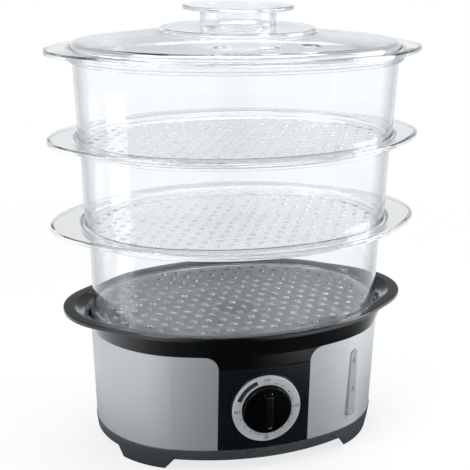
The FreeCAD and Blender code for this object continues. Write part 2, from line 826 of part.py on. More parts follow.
def add_d_shape(sketch, gap):
    """The round shaft's section with one flat, on top."""
    radius = size("shaft_radius + (%s)" % gap)
    flat = size("shaft_flat + (%s)" % gap)
    start = math.asin(flat / radius)
    arc = sketch.addGeometry(arc_of(0, 0, radius, math.pi - start, 2 * math.pi + start))
    line = sketch.addGeometry(Part.LineSegment(sketch.getPoint(arc, 2), sketch.getPoint(arc, 1)))
    rule = Sketcher.Constraint
    sketch.addConstraint([
        rule("Coincident", arc, 3, -1, 1),
        rule("Coincident", line, 1, arc, 2),
        rule("Coincident", line, 2, arc, 1),
        rule("Horizontal", line),
    ])
    drive(sketch, "Radius", (arc,), "shaft_radius + (%s)" % gap)
    drive(sketch, "DistanceY", (-1, 1, line, 1), "shaft_flat + (%s)" % gap)


def make_timer_shaft():
    body = new_body("timer_shaft")
    shank = front_sketch(body, "shank", "timer_front - timer_depth / 2", up="dial_level")
    add_circle(shank, "shaft_radius")
    pad(body, shank, "timer_depth / 2 + timer_gap + panel_wall")
    tip = front_sketch(body, "tip", "dial_back", up="dial_level")
    add_d_shape(tip, "0")
    pad(body, tip, "grip_face - knob_cap - seam - dial_back")


def runs_front_to_back(edge):
    return abs(edge.tangentAt(edge.FirstParameter).y) > 0.99


def make_timer_housing():
    body = new_body("timer_housing")
    half = "timer_size / 2"
    case = front_sketch(body, "case", "timer_back", up="dial_level")
    add_box(case, "-(%s)" % half, half, "-(%s)" % half, half)
    block = pad(body, case, "timer_depth - timer_plate")
    round_edges(body, block, "timer_corner", runs_front_to_back)
    plate = front_sketch(body, "plate", "timer_front - timer_plate", up="dial_level")
    half_length, half_height = "timer_size / 2 - fit", "timer_plate_half_height"
    add_box(plate, "-(%s)" % half_length, half_length, "-" + half_height, half_height)
    pad(body, plate, "timer_plate")
    bore = front_sketch(body, "bore", "timer_front", up="dial_level")
    add_circle(bore, "shaft_radius + running_fit")
    pocket(body, bore, "timer_depth / 2 + seam")
    holes = timer_pair(body, "holes", "timer_front", "pilot_radius")
    pocket(body, holes, "timer_screw_length - (timer_gap + panel_wall - screw_head)")


def make_timer_bell():
    body = new_body("timer_bell")
    cup = sketch_on(body, "cup", "YZ_Plane", up="dial_level")
    foot, top = "-timer_back", "-(timer_back - bell_height)"
    inside, lip = "%s - bell_wall" % top, "%s + seam" % foot
    add_outline(cup, [(foot, "0"), (top, "0"), (top, "bell_radius / 2"),
                      (lip, "bell_radius"), (lip, "bell_radius - bell_wall"),
                      (inside, "bell_radius / 2 - bell_wall / 2"),
                      (inside, "bell_pin_radius"), (foot, "bell_pin_radius")])
    revolve(body, cup, "H_Axis")


def make_timer_screws():
    body = new_body("timer_screws")
    body.AllowCompound = True
    seat = "dial_back - screw_head"
    pad(body, timer_pair(body, "heads", seat, "screw_head_radius"), "screw_head - fit")
    pad(body, timer_pair(body, "shanks", seat, "screw_radius"), "timer_screw_length", backwards=True)


# ---------------------------------------------------------------------------
# Upper housing with its rim, ears and basket seat, and the water tank joined into its deck
# ---------------------------------------------------------------------------
def arc_between(centre, start, end):
    """An anticlockwise arc from one point to another."""
    angles = [math.atan2(point.y - centre.y, point.x - centre.x) for point in (start, end)]
    return arc_of(centre.x, centre.y, centre.distanceToPoint(start), *angles)


def ear_profile(body, name, radius, rim, low, top, ledge):
    """Half section of an ear about its upright axis, with a hollow flank and maybe a ledge over it."""
    sketch = front_sketch(body, name, along="ear_centre")
    centre = Vector(size("ear_pivot"), size("steel_top"), 0)
    swing, reach, floor, roof = (size(value) for value in (radius, rim, low, top))
    foot = Vector(centre.x - math.sqrt(swing ** 2 - (floor - centre.y) ** 2), floor, 0)
    if ledge:
        head = Vector(centre.x, centre.y + swing, 0)
    else:
        head = Vector(reach, centre.y + math.sqrt(swing ** 2 - (reach - centre.x) ** 2), 0)
    stops = [foot, Vector(0, floor, 0), Vector(0, roof, 0), Vector(reach, roof, 0)]
    if ledge:
        stops.append(Vector(reach, head.y, 0))
    stops.append(head)
    curve = sketch.addGeometry(arc_between(centre, head, foot))
    lines = [sketch.addGeometry(Part.LineSegment(*ends)) for ends in zip(stops, stops[1:])]
    rule = Sketcher.Constraint
    for line, following in zip(lines, lines[1:]):
        sketch.addConstraint(rule("Coincident", line, 2, following, 1))
    for step, line in enumerate(lines):
        sketch.addConstraint(rule("Vertical" if step % 2 else "Horizontal", line))
    sketch.addConstraint(rule("Coincident", curve, 2, lines[0], 1))
    sketch.addConstraint(rule("Coincident", lines[-1], 2, curve, 1))
    pin(sketch, curve, 3, "ear_pivot", "steel_top")
    drive(sketch, "Radius", (curve,), radius)
    pin(sketch, lines[1], 1, "0", low)
    pin(sketch, lines[3], 1, rim, top)
    if ledge:
        drive(sketch, "DistanceX", (-1, 1, curve, 1), "ear_pivot")
    return sketch


def make_upper_housing():
    body = new_body("upper_housing")
    deck_low = "steel_top - deck"
    pad(body, flat_oval(body, "deck", deck_low, "deck_end_radius"), "deck + overcut")
    loft(body, [flat_oval(body, "skirt_low", "steel_top", "skirt_end_radius"),
                flat_oval(body, "skirt_high", "rim_under", "rim_end_radius")])
    pad(body, flat_oval(body, "rim", "rim_under", "rim_end_radius"), "rim_lip")
    ear = revolve(body, ear_profile(body, "ear", "ear_bend", "ear_radius", "steel_top", "rim_top", True))
    mirror(body, [ear])
    apron = []
    for name, level, outer in (("apron_low", "panel_top", "steel_panel_radius"),
                               ("apron_high", "steel_top", "steel_top_radius")):
        band = flat_sketch(body, name, level)
        add_band(band, "panel_half_width + shoulder_radius", outer, "%s - panel_wall" % outer)
        apron.append(band)
    loft(body, apron)
    corners = front_sketch(body, "apron_corners")
    for side in ("", "-"):
        add_circle(corners, "shoulder_radius", "%s(panel_half_width + shoulder_radius)" % side, "panel_top")
    pocket(body, corners, "2 * rim_end_radius", onwards=True)
    scoop = revolve(body, ear_profile(body, "scoop", "ear_bend + ear_wall", "ear_radius - ear_lip_width",
                                      "steel_top + overcut", "rim_top + overcut", False), cut=True)
    mirror(body, [scoop])
    seat = flat_oval(body, "seat", "base_seat - ledge", "recess_end_radius + seat_clearance")
    pad(body, seat, "ledge")
    recess = flat_oval(body, "recess", "base_seat", "recess_end_radius")
    pocket(body, recess, "seat_depth + overcut", onwards=True)
    mouth = flat_oval(body, "mouth", deck_low, "tank_inner")
    pocket(body, mouth, "rim_top - (%s)" % deck_low, onwards=True)
    socket = flat_oval(body, "socket", deck_low, "tank_end_radius + fit")
    pocket(body, socket, "deck", onwards=True)
    for name, front in (("front_hollow", True), ("back_hollow", False)):
        hollow = flat_sketch(body, name, deck_low)
        add_band(hollow, "boss_x + boss_clear", "deck_end_radius - shell_wall",
                 "tank_end_radius + under_gap", front)
        pocket(body, hollow, "base_seat - ledge - deck_roof - (%s)" % deck_low, onwards=True)


def make_water_tank():
    body = new_body("water_tank")
    pad(body, flat_oval(body, "outside", "tank_level", "tank_end_radius"), "steel_top - tank_level - fit")
    water = flat_oval(body, "water", "tank_floor", "tank_inner")
    pocket(body, water, "steel_top - tank_floor", onwards=True)
    add_timer_alcove(body)
    add_tray_lugs(body)
    bosses = flat_circles(body, "bosses", "tank_level + overcut", "boss_radius", SCREW_CORNERS)
    pad(body, bosses, "tank_level + overcut - post_top - boss_gap", backwards=True)
    pilots = flat_circles(body, "pilots", "screw_shelf", "pilot_radius", SCREW_CORNERS)
    pocket(body, pilots, "base_screw_length + overcut", onwards=True)
    add_heater_seat(body)
    gauge_seat = gauge_sketch(body, "gauge_seat", "tank_inner + running_fit")
    add_gauge_slot(gauge_seat, "gauge_flange + gauge_proud")
    pad(body, gauge_seat, "tank_wall")
    gauge_port = gauge_sketch(body, "gauge_port", "tank_inner - tank_wall")
    add_gauge_port(gauge_port)
    pocket(body, gauge_port, "3 * tank_wall", onwards=True)


def add_timer_alcove(body):
    """Box the timer's space off from the water, open to the front and below."""
    block = flat_sketch(body, "alcove_block", "tank_level")
    add_box(block, "-alcove_reach", "alcove_reach", "-alcove_front", "-(alcove_back - tank_wall)")
    pad(body, block, "alcove_top + tank_wall - tank_level")
    alcove = flat_sketch(body, "alcove", "tank_level - overcut")
    add_box(alcove, "-alcove_half_width", "alcove_half_width", "-(tank_front + overcut)", "-alcove_back")
    pocket(body, alcove, "alcove_top - tank_level + overcut", onwards=True)


def add_tray_lugs(body):
    lugs = flat_sketch(body, "tray_lugs", "lug_level - lug_height")
    wall = "tank_inner + side_offset - side_centre"
    for side in (-1, 1):
        for end in (-1, 1):
            near = "%d * lug_reach" % end
            far = "%d * (%s - tank_wall / 2)" % (end, wall)
            low, high = (far, near) if end < 0 else (near, far)
            middle = "%d * lug_place" % side
            add_box(lugs, "%s - lug_width / 2" % middle, "%s + lug_width / 2" % middle, low, high)
    pad(body, lugs, "lug_height")


def add_heater_seat(body):
    hole = flat_circles(body, "heater_hole", "tank_level", "heater_radius", [("0", "0")])
    pocket(body, hole, "tank_wall + overcut", onwards=True)
    place = [("heater_screw_circle", "0")]
    boss = flat_circles(body, "screw_boss", "tank_floor", "screw_radius + heater_screw_wall", place)
    ring_pattern(body, [pad(body, boss, "heater_screw_boss")], 3)
    bore = flat_circles(body, "screw_pilot", "tank_level", "pilot_radius", place)
    ring_pattern(body, [pocket(body, bore, "tank_wall + heater_screw_grip + overcut", onwards=True)], 3)


# ---------------------------------------------------------------------------
# Water gauge
# ---------------------------------------------------------------------------
def add_gauge_slot(sketch, edge="0"):
    grow = "2 * (%s)" % edge
    add_slot(sketch, "gauge_width + " + grow, "gauge_height + " + grow, y="gauge_level")


def add_gauge_port(sketch):
    """The opening that lets the tank's water into the window, clear of the tank's floor."""
    middle = "(port_high + port_low) / 2"
    add_slot(sketch, "gauge_width - 2 * gauge_port_edge", "port_high - port_low", y=middle)


def make_gauge_seal():
    body = new_body("gauge_seal")
    ring = gauge_sketch(body, "ring", "gauge_foot - gauge_seal")
    add_gauge_slot(ring, "gauge_flange")
    add_gauge_port(ring)
    pad(body, ring, "gauge_seal")


def make_gauge_window():
    body = new_body("gauge_window")
    flange = gauge_sketch(body, "flange", "gauge_foot")
    add_gauge_slot(flange, "gauge_flange")
    pad(body, flange, "gauge_flange_depth")
    lens = gauge_sketch(body, "lens", "gauge_foot")
    add_gauge_slot(lens)
    pad(body, lens, "gauge_face - gauge_foot")
    hollow = gauge_sketch(body, "hollow", "gauge_foot")
    add_gauge_slot(hollow, "-gauge_wall")
    pocket(body, hollow, "gauge_face - gauge_foot - gauge_wall", onwards=True)


# ---------------------------------------------------------------------------
# Heater, sensors and wiring under the tank
# ---------------------------------------------------------------------------
def make_heater_plate():
    body = new_body("heater_plate")
    section = front_sketch(body, "section")
    foot, top = "flange_level", "tank_floor + heater_rise"
    rim = "heater_radius - running_fit"
    add_outline(section, [("0", foot), ("heater_flange_radius", foot),
                          ("heater_flange_radius", "%s + heater_flange" % foot),
                          (rim, "%s + heater_flange" % foot), (rim, top), ("%s - heater_lip" % rim, top),
                          ("%s - heater_lip - heater_dish" % rim, "%s - heater_dish" % top),
                          ("0", "%s - heater_dish" % top)])
    revolve(body, section)
    hole = flat_circles(body, "screw_hole", foot, "screw_radius + seam", [("heater_screw_circle", "0")])
    ring_pattern(body, [pocket(body, hole, "heater_flange + overcut", onwards=True)], 3)


def make_heater_gasket():
    body = new_body("heater_gasket")
    ring = flat_sketch(body, "ring", "tank_level - gasket")
    add_circle(ring, "heater_screw_circle - 2 * screw_radius")
    add_circle(ring, "heater_radius + running_fit")
    pad(body, ring, "gasket")


def make_heating_element():
    """A sheathed heater bent into most of a ring, with straight cold ends."""
    body = new_body("heating_element")
    path = flat_sketch(body, "path", "element_level")
    radius, tail = size("element_circle"), size("element_tail")
    half_gap = size("element_half_gap")
    start, end = math.radians(half_gap - 90), math.radians(270 - half_gap)
    arc = path.addGeometry(arc_of(0, 0, radius, start, end))
    path.addConstraint(Sketcher.Constraint("Coincident", arc, 3, -1, 1))
    drive(path, "Radius", (arc,), "element_circle")
    for point, sign in ((1, 1), (2, -1)):
        place = path.getPoint(arc, point)
        line = path.addGeometry(Part.LineSegment(place, place + Vector(0, -tail, 0)))
        path.addConstraint(Sketcher.Constraint("Coincident", line, 1, arc, point))
        path.addConstraint(Sketcher.Constraint("Vertical", line))
        drive(path, "Distance", (line,), "element_tail")
        drive(path, "DistanceX", (-1, 1, line, 1) if sign > 0 else (line, 1, -1, 1), "tail_x")
    section = sketch_on(body, "section", "XZ_Plane", "tail_end", "tail_x", "element_level")
    add_circle(section, "element_radius")
    feature = body.newObject("PartDesign::AdditivePipe", "sheath")
    feature.Profile = section
    feature.Spine = (path, ["Edge2", "Edge1", "Edge3"])
    feature.Transition = "Round corner"
    doc.recompute()


def make_heater_pins():
    body = new_body("heater_pins")
    body.AllowCompound = True
    pins = front_sketch(body, "pins", "tail_end", up="element_level")
    for side in ("", "-"):
        add_circle(pins, "pin_radius", "%stail_x" % side)
    pad(body, pins, "pin_length")


def make_heater_screws():
    body = new_body("heater_screws")
    body.AllowCompound = True
    places = [("heater_screw_circle * cos(%d)" % turn, "heater_screw_circle * sin(%d)" % turn)
              for turn in (120, 240)]
    places.append(("heater_screw_circle", "0"))
    heads = flat_circles(body, "heads", "flange_level", "screw_head_radius", places)
    pad(body, heads, "screw_head", backwards=True)
    shanks = flat_circles(body, "shanks", "flange_level", "screw_radius", places)
    pad(body, shanks, "heater_flange + gasket + tank_wall + heater_screw_grip")


def make_thermostat():
    body = new_body("thermostat")
    can = flat_circles(body, "can", "flange_level", "thermostat_radius", [("0", "0")])
    pad(body, can, "thermostat_height", backwards=True)
    tabs = flat_sketch(body, "tabs", "flange_level - thermostat_height + tab_level")
    reach = "thermostat_radius + tab_reach"
    add_box(tabs, "-(%s)" % reach, reach, "-tab_width / 2", "tab_width / 2")
    pad(body, tabs, "tab_gauge")


def make_thermal_fuse():
    body = new_body("thermal_fuse")
    middle, level = "thermostat_radius + fuse_radius + fuse_gap", "flange_level - fuse_radius"
    barrel = sketch_on(body, "barrel", "YZ_Plane", "-fuse_length / 2", middle, level)
    add_circle(barrel, "fuse_radius - running_fit")
    pad(body, barrel, "fuse_length")


def make_terminal_block():
    body = new_body("terminal_block")
    block = flat_sketch(body, "block", "plate_top")
    add_box(block, "block_x - block_length / 2", "block_x + block_length / 2",
            "block_y", "block_y + block_depth")
    pad(body, block, "block_height")
    ways = front_sketch(body, "ways", "-(block_y + block_depth)", up="plate_top")
    for step in (-1, 0, 1):
        add_circle(ways, "wire_radius + seam", "block_x + %d * block_pitch" % step, "block_way")
    pocket(body, ways, "2 * block_depth", both_ways=True)


def make_cord_gland():
    """A bush through the back wall, with the flange outside."""
    body = new_body("cord_gland")
    wall = "sqrt((steel_end_radius + side_offset)^2 - gland_x^2) - side_centre"
    outside = "-(%s + gland_stand)" % wall
    for name, radius, distance, length in (
            ("bush", "gland_radius", outside, "gland_length"),
            ("cap", "gland_flange", "%s - gland_cap" % outside, "gland_cap")):
        ring = front_sketch(body, name, distance, "gland_level", "gland_x")
        add_circle(ring, radius)
        add_circle(ring, "gland_bore")
        pad(body, ring, length)


def make_wire(label, points, bend_share=0.45):
    """A round wire of straight runs joined by tangent arcs, each of which takes a share of its runs."""
    places = [Vector(*(size(value) for value in point)) for point in points]
    edges, radii, start = [], [], places[0]
    for before, corner, after in zip(places, places[1:], places[2:]):
        inward, outward = (corner - before).normalize(), (after - corner).normalize()
        half_turn = inward.getAngle(outward) / 2
        cut = bend_share * min((corner - before).Length, (after - corner).Length)
        radius = cut / math.tan(half_turn)
        radii.append(radius)
        first, last = corner - inward * cut, corner + outward * cut
        middle = corner + (outward - inward).normalize() * (radius / math.cos(half_turn) - radius)
        edges.append(Part.LineSegment(start, first).toShape())
        edges.append(Part.Arc(first, middle, last).toShape())
        start = last
    edges.append(Part.LineSegment(start, places[-1]).toShape())
    path = Part.Wire(edges)
    ring = Part.Wire([Part.Circle(places[0], places[1] - places[0], size("wire_radius")).toShape()])
    wire = doc.addObject("Part::Feature", label)
    wire.Label = label
    wire.Shape = path.makePipeShell([ring], True, False)
    NODES.append(wire)
    print("%-20s bends %s mm" % (label, ", ".join("%.1f" % radius for radius in radii)))


def make_wires():
    """Wires run level, then rise to the timer, the heater's pins and its flange."""
    way_left, way_middle, way_right = ("block_x + %d * block_pitch" % step for step in (-1, 0, 1))
    pin_y = "-(tail_end + pin_length - 2 * wire_radius)"
    make_wire("live_wire", [(way_left, "block_y", "way_level"), (way_left, "-block_y", "way_level"),
                            ("-timer_tab_x", "timer_tab_y", "way_level"),
                            ("-timer_tab_x", "timer_tab_y", "timer_under")])
    make_wire("neutral_wire", [(way_middle, "block_y", "way_level"), (way_middle, "0", "way_level"),
                               ("-tail_x", pin_y, "way_level"), ("-tail_x", pin_y, "pin_foot")])
    make_wire("earth_wire", [(way_right, "block_y", "way_level"), (way_right, "earth_y", "way_level"),
                             ("earth_x", "earth_y", "way_level"), ("earth_x", "earth_y", "flange_level")])
    make_wire("switched_wire", [("timer_tab_x", "timer_tab_y", "timer_under"),
                                ("timer_tab_x", "timer_tab_y", "way_level"),
                                ("tail_x", pin_y, "way_level"), ("tail_x", pin_y, "pin_foot")])


# ---------------------------------------------------------------------------
# Steam ring and drip tray, which lift out of the tank
# ---------------------------------------------------------------------------
def make_steam_ring():
    body = new_body("steam_ring")
    wall = flat_sketch(body, "wall", "tank_floor")
    add_circle(wall, "steam_ring_radius")
    add_circle(wall, "steam_ring_radius - steam_ring_wall")
    pad(body, wall, "steam_ring_height")
    notch = sketch_on(body, "notch", "YZ_Plane", up="tank_floor")
    add_box(notch, "-notch_width / 2", "notch_width / 2", "-overcut", "notch_height")
    cut = pocket(body, notch, "2 * steam_ring_radius", onwards=True)
    ring_pattern(body, [cut], 6)


def tray_section(body, name, level, inset):
    sketch = flat_sketch(body, name, level)
    add_barrel(sketch, "tray_side_radius - (%s)" % inset, "tray_half_length - (%s)" % inset)
    return sketch


def make_drip_tray():
    body = new_body("drip_tray")
    low, high = "tray_low", "lug_level"
    narrow, hollow = "tray_rim + tray_draft", "tray_rim + tray_wall"
    loft(body, [tray_section(body, "dish_low", low, narrow),
                tray_section(body, "dish_high", high, "tray_rim")])
    pad(body, tray_section(body, "rim", high, "0"), "tray_wall")
    loft(body, [tray_section(body, "inner_low", "%s + tray_wall" % low, "%s + tray_draft" % hollow),
                tray_section(body, "inner_high", "%s + tray_wall" % high, hollow)], cut=True)
    top = "%s + chimney_rise" % high
    chimney = front_sketch(body, "chimney")
    add_outline(chimney, [("0", low), ("chimney_radius", low), ("chimney_neck", top), ("0", top)])
    revolve(body, chimney)
    flue = front_sketch(body, "flue")
    below, above = "%s - overcut" % low, "%s + overcut" % top
    add_outline(flue, [("0", below), ("chimney_radius - tray_wall", below),
                       ("chimney_neck - tray_wall", above), ("0", above)])
    revolve(body, flue, cut=True)


# ---------------------------------------------------------------------------
# Baskets
# ---------------------------------------------------------------------------
def make_hole_field(label, level, foot_radius):
    """Upright drills in rows that stay inside the basket's floor."""
    pitch, radius = size("hole_pitch"), size("hole_radius")
    end, far = size("end_centre"), size("side_centre")
    reach = size(foot_radius) - size("hole_margin")
    side = reach + math.hypot(end, far)
    base = size(level) - size("overcut")
    height = size("basket_foot + basket_wall + 2 * overcut")
    drills = []
    rows = int(reach // pitch)
    for row in range(-rows, rows + 1):
        y = row * pitch
        shift = pitch / 2 if row % 2 else 0
        columns = int((end + reach) // pitch) + 1
        for column in range(-columns, columns + 1):
            x = column * pitch + shift
            in_side = math.hypot(x, abs(y) + far) <= side
            in_end = abs(x) <= end or math.hypot(abs(x) - end, y) <= reach
            if in_side and in_end:
                drills.append(Part.makeCylinder(radius, height, Vector(x, y, base)))
    field = doc.addObject("Part::Feature", label)
    field.Shape = Part.makeCompound(drills)
    return field


def make_basket(label, seat, foot_radius, mouth_radius, guest_radius):
    """A tapered bowl on a low foot ring, with a seat for the next tier and an oval flange."""
    body = doc.addObject("PartDesign::Body", label + "_bowl")
    next_seat = "%s + basket_pitch" % seat
    top = "%s + flange_rise" % next_seat
    guest = "%s + seat_clearance" % guest_radius
    loft(body, [flat_oval(body, "outer_low", seat, foot_radius),
                flat_oval(body, "outer_high", next_seat, mouth_radius)])
    pad(body, flat_oval(body, "collar", "%s - basket_wall" % next_seat, "%s + basket_wall" % guest),
        "flange_rise + basket_wall")
    flange = flat_sketch(body, "flange", "%s - flange_lip" % top)
    add_flange_oval(flange)
    pad(body, flange, "flange_lip")
    under = flat_sketch(body, "under_flange", "%s - flange_lip" % top)
    add_flange_oval(under, "flange_lip_wall")
    add_oval(under, "%s + basket_wall" % guest)
    pocket(body, under, "flange_lip - flange_plate", onwards=True)
    pocket(body, flat_oval(body, "recess", next_seat, guest), "flange_rise + overcut", onwards=True)
    floor = "%s + basket_foot + basket_wall" % seat
    loft(body, [flat_oval(body, "inner_low", floor, "%s - basket_wall" % foot_radius),
                flat_oval(body, "inner_high", next_seat, "%s - basket_wall" % mouth_radius)], cut=True)
    pocket(body, flat_oval(body, "foot_ring", seat, "%s - basket_foot_wall" % foot_radius),
           "basket_foot", onwards=True)
    basket = doc.addObject("Part::Cut", label)
    basket.Label = label
    basket.Base = body
    basket.Tool = make_hole_field(label + "_holes", seat, foot_radius)
    NODES.append(basket)


# ---------------------------------------------------------------------------
# Lid and its knob
# ---------------------------------------------------------------------------
def make_lid():
    body = new_body("lid")
    inner, under = "lid_end_radius - lid_wall", "lid_plate_level - lid_wall"
    middle = [("0", "0")]
    pad(body, flat_oval(body, "skirt", "lid_seat", "lid_end_radius"), "lid_skirt")
    loft(body, [flat_oval(body, "dome_low", "lid_shoulder", "lid_end_radius"),
                flat_circles(body, "dome_top", "lid_plate_level", "lid_plate_radius", middle)])
    pad(body, flat_circles(body, "plate", "lid_plate_level", "lid_plate_radius", middle), "lid_plate")
    pocket(body, flat_oval(body, "inside", "lid_seat", inner), "lid_skirt - lid_wall", onwards=True)
    loft(body, [flat_oval(body, "under_low", "lid_shoulder - lid_wall", inner),
                flat_circles(body, "under_top", under, "lid_plate_radius - lid_wall", middle)], cut=True)
    well = flat_circles(body, "under_plate", under, "lid_plate_radius - lid_wall", middle)
    pocket(body, well, "lid_plate", onwards=True)
    hole = flat_circles(body, "knob_hole", under, "spigot_radius + fit", middle)
    pocket(body, hole, "lid_plate + 2 * lid_wall", onwards=True)
    vents = flat_sketch(body, "vents", "lid_seat")
    for turn in (-1, 0, 1):
        for face in (-1, 1):
            add_vent(vents, turn, face)
    pocket(body, vents, "lid_skirt + lid_dome", onwards=True)


def add_vent(sketch, turn, face):
    """A slot with round ends, along the lid's long side."""
    radius, reach = size("vent_width") / 2, size("vent_length - vent_width") / 2
    x_text = "%d * vent_circle * sin(vent_step)" % turn
    y_text = "%d * vent_circle * %s" % (face, "cos(vent_step)" if turn else "1")
    x, y = size(x_text), size(y_text)
    left = sketch.addGeometry(arc_of(x - reach, y, radius, math.pi / 2, 3 * math.pi / 2))
    right = sketch.addGeometry(arc_of(x + reach, y, radius, -math.pi / 2, math.pi / 2))
    low = sketch_line(sketch, (x - reach, y - radius), (x + reach, y - radius))
    high = sketch_line(sketch, (x + reach, y + radius), (x - reach, y + radius))
    rule = Sketcher.Constraint
    sketch.addConstraint([
        rule("Tangent", left, 2, low, 1), rule("Tangent", low, 2, right, 1),
        rule("Tangent", right, 2, high, 1), rule("Tangent", high, 2, left, 1),
        rule("Equal", left, right),
    ])
    pin(sketch, left, 3, "%s - (vent_length - vent_width) / 2" % x_text, y_text)
    pin(sketch, right, 3, "%s + (vent_length - vent_width) / 2" % x_text, y_text)
    drive(sketch, "Radius", (left,), "vent_width / 2")


def make_lid_knob():
    body = new_body("lid_knob")
    section = front_sketch(body, "section")
    under = "lid_top - lid_wall - fit"
    top = "lid_top + spool_height"
    inner = "spool_radius - spool_wall"
    bore = "spigot_radius - spigot_wall"
    add_outline(section, [
        (bore, "%s - snap_depth" % under), ("spigot_radius + snap", "%s - snap_depth" % under),
        ("spigot_radius + snap", under), ("spigot_radius", under), ("spigot_radius", "lid_top"),
        ("spool_radius", "lid_top"), ("spool_radius", top), ("spool_disc_radius", top),
        ("spool_disc_radius", "%s + spool_disc" % top), ("0", "%s + spool_disc" % top),
        ("0", "%s + spool_disc - spool_wall" % top), (inner, "%s + spool_disc - spool_wall" % top),
        (inner, "lid_top + spool_wall"), (bore, "lid_top + spool_wall")])
    revolve(body, section)


# ---------------------------------------------------------------------------
# Base screws
# ---------------------------------------------------------------------------
def make_base_screws():
    body = new_body("base_screws")
    body.AllowCompound = True
    heads = flat_circles(body, "heads", "screw_shelf", "screw_head_radius", SCREW_CORNERS)
    pad(body, heads, "screw_head", backwards=True)
    shanks = flat_circles(body, "shanks", "screw_shelf", "screw_radius", SCREW_CORNERS)
    pad(body, shanks, "base_screw_length")


make_base_plate()
make_foot_pads()
make_base_screws()
make_lower_shell()
make_steel_wrap()
make_control_panel()
make_dial_ring()
make_timer_knob()
make_timer_shaft()
make_timer_housing()
make_timer_bell()
make_timer_screws()
make_upper_housing()
make_water_tank()
make_gauge_seal()
make_gauge_window()
make_heater_plate()
make_heater_gasket()
make_heating_element()
make_heater_pins()
make_heater_screws()
make_thermostat()
make_thermal_fuse()
make_terminal_block()
make_cord_gland()
make_wires()
make_steam_ring()
make_drip_tray()
make_basket("basket_bottom", "base_seat", "bottom_foot", "bottom_mouth", "middle_foot")
make_basket("basket_middle", "middle_seat", "middle_foot", "middle_mouth", "top_foot")
make_basket("basket_top", "top_seat", "top_foot", "top_mouth", "lid_end_radius")
make_lid()
make_lid_knob()
doc.recompute()

# ---------------------------------------------------------------------------
# Check every object, then write one file for each sub-part
# ---------------------------------------------------------------------------
for item in doc.Objects:
    if "Invalid" in item.State or "Error" in item.State:
        raise RuntimeError("%s failed to compute" % item.Name)
for node in NODES:
    if node.Shape.isNull() or not node.Shape.isValid():
        raise RuntimeError("%s has no valid shape" % node.Label)

os.makedirs("parts", exist_ok=True)
for node in NODES:
    node.Shape.exportStep("parts/%s.step" % node.Label)
    print("%-20s %d solids %10.0f mm3" % (node.Label, len(node.Shape.Solids), node.Shape.Volume))
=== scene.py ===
import math

import bpy
import bmesh
import numpy as np
from mathutils import Matrix, Vector
from mathutils.geometry import delaunay_2d_cdt


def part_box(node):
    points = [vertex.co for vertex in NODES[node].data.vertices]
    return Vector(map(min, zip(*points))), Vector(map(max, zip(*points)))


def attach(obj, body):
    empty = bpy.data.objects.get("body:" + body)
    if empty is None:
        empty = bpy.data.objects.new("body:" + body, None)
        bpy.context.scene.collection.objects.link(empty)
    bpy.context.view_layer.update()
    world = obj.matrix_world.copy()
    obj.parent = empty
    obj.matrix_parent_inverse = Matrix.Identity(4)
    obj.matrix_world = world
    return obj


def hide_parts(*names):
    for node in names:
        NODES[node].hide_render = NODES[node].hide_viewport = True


# Looks for the three-tier electric food steamer. +Z up, the control panel faces -Y.
# Sizes here are millimetres in the CAD frame; meshes are made in metres.
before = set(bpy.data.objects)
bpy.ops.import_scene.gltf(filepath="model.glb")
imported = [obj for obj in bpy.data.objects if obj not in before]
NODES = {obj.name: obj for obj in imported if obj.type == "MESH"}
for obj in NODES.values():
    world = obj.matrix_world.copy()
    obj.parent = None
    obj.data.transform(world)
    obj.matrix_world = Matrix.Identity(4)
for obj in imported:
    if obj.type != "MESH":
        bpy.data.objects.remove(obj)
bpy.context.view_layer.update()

MM = 0.001                # a millimetre in metres


def span(node):
    """Lowest and highest corner of a CAD node, in millimetres."""
    low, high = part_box(node)
    return low / MM, high / MM


def all_round(steps):
    """Evenly spaced angles over one full turn."""
    return np.linspace(0, 2 * math.pi, steps, endpoint=False)


# ---------------------------------------------------------------------------
# Driving dimensions: what the frame's boxes say, and the sizes of the details
# ---------------------------------------------------------------------------
# ovals: where the centres of their end arcs and side arcs lie, and the centres of the round ears
END_CENTRE = 43.5
SIDE_CENTRE = 97.0
EAR_CENTRE = 97.5
FLANGE_END_RADIUS = 70.0

# baskets: how far the tiers stand apart, their flange, wall, foot ring and floor
BASKET_PITCH = 76.0
FLANGE_RISE = 8.5
FLANGE_PLATE = 2.2
FLANGE_LIP = 4.5
FLANGE_LIP_WALL = 2.4
CLEAR_WALL = 2.2
FOOT_HEIGHT = 2.0
FOOT_WALL = 3.2
SEAT_CLEARANCE = 1.2
CONTACT_GAP = 0.05
HOLE_RADIUS = 2.6
HOLE_MOUTH = 0.35                            # how much wider a hole is where it meets a face
HOLE_PITCH = 13.0
HOLE_MARGIN = 9.0
HOLE_SIDES = 14
FLOOR_MARGIN, CEILING_MARGIN = 1.5, 2.0      # plain strips round the pierced floor, below and above

# end radius of each tier's foot and mouth, from the bottom up
TIERS = {"basket_bottom": (88.5, 90.0), "basket_middle": (93.5, 95.5), "basket_top": (96.7, 100.0)}

# places of the base, dial and lid, from the frame
STEEL_LOW, STEEL_HIGH = span("steel_wrap")
STEEL_END_LOW = 88.0
STEEL_END_HIGH = STEEL_HIGH.x - END_CENTRE
STEEL_SLOPE = (STEEL_END_HIGH - STEEL_END_LOW) / (STEEL_HIGH.z - STEEL_LOW.z)
PANEL_FOOT = span("control_panel")[0].z
KNOB_LOW, KNOB_HIGH = span("timer_knob")
RING_LOW, RING_HIGH = span("dial_ring")
DIAL_LEVEL = (KNOB_LOW.z + KNOB_HIGH.z) / 2
HOUSING_TOP = span("upper_housing")[1].z
LID_LOW, LID_HIGH = span("lid")
SPOOL_LOW, SPOOL_HIGH = span("lid_knob")

TURNS = all_round(360)


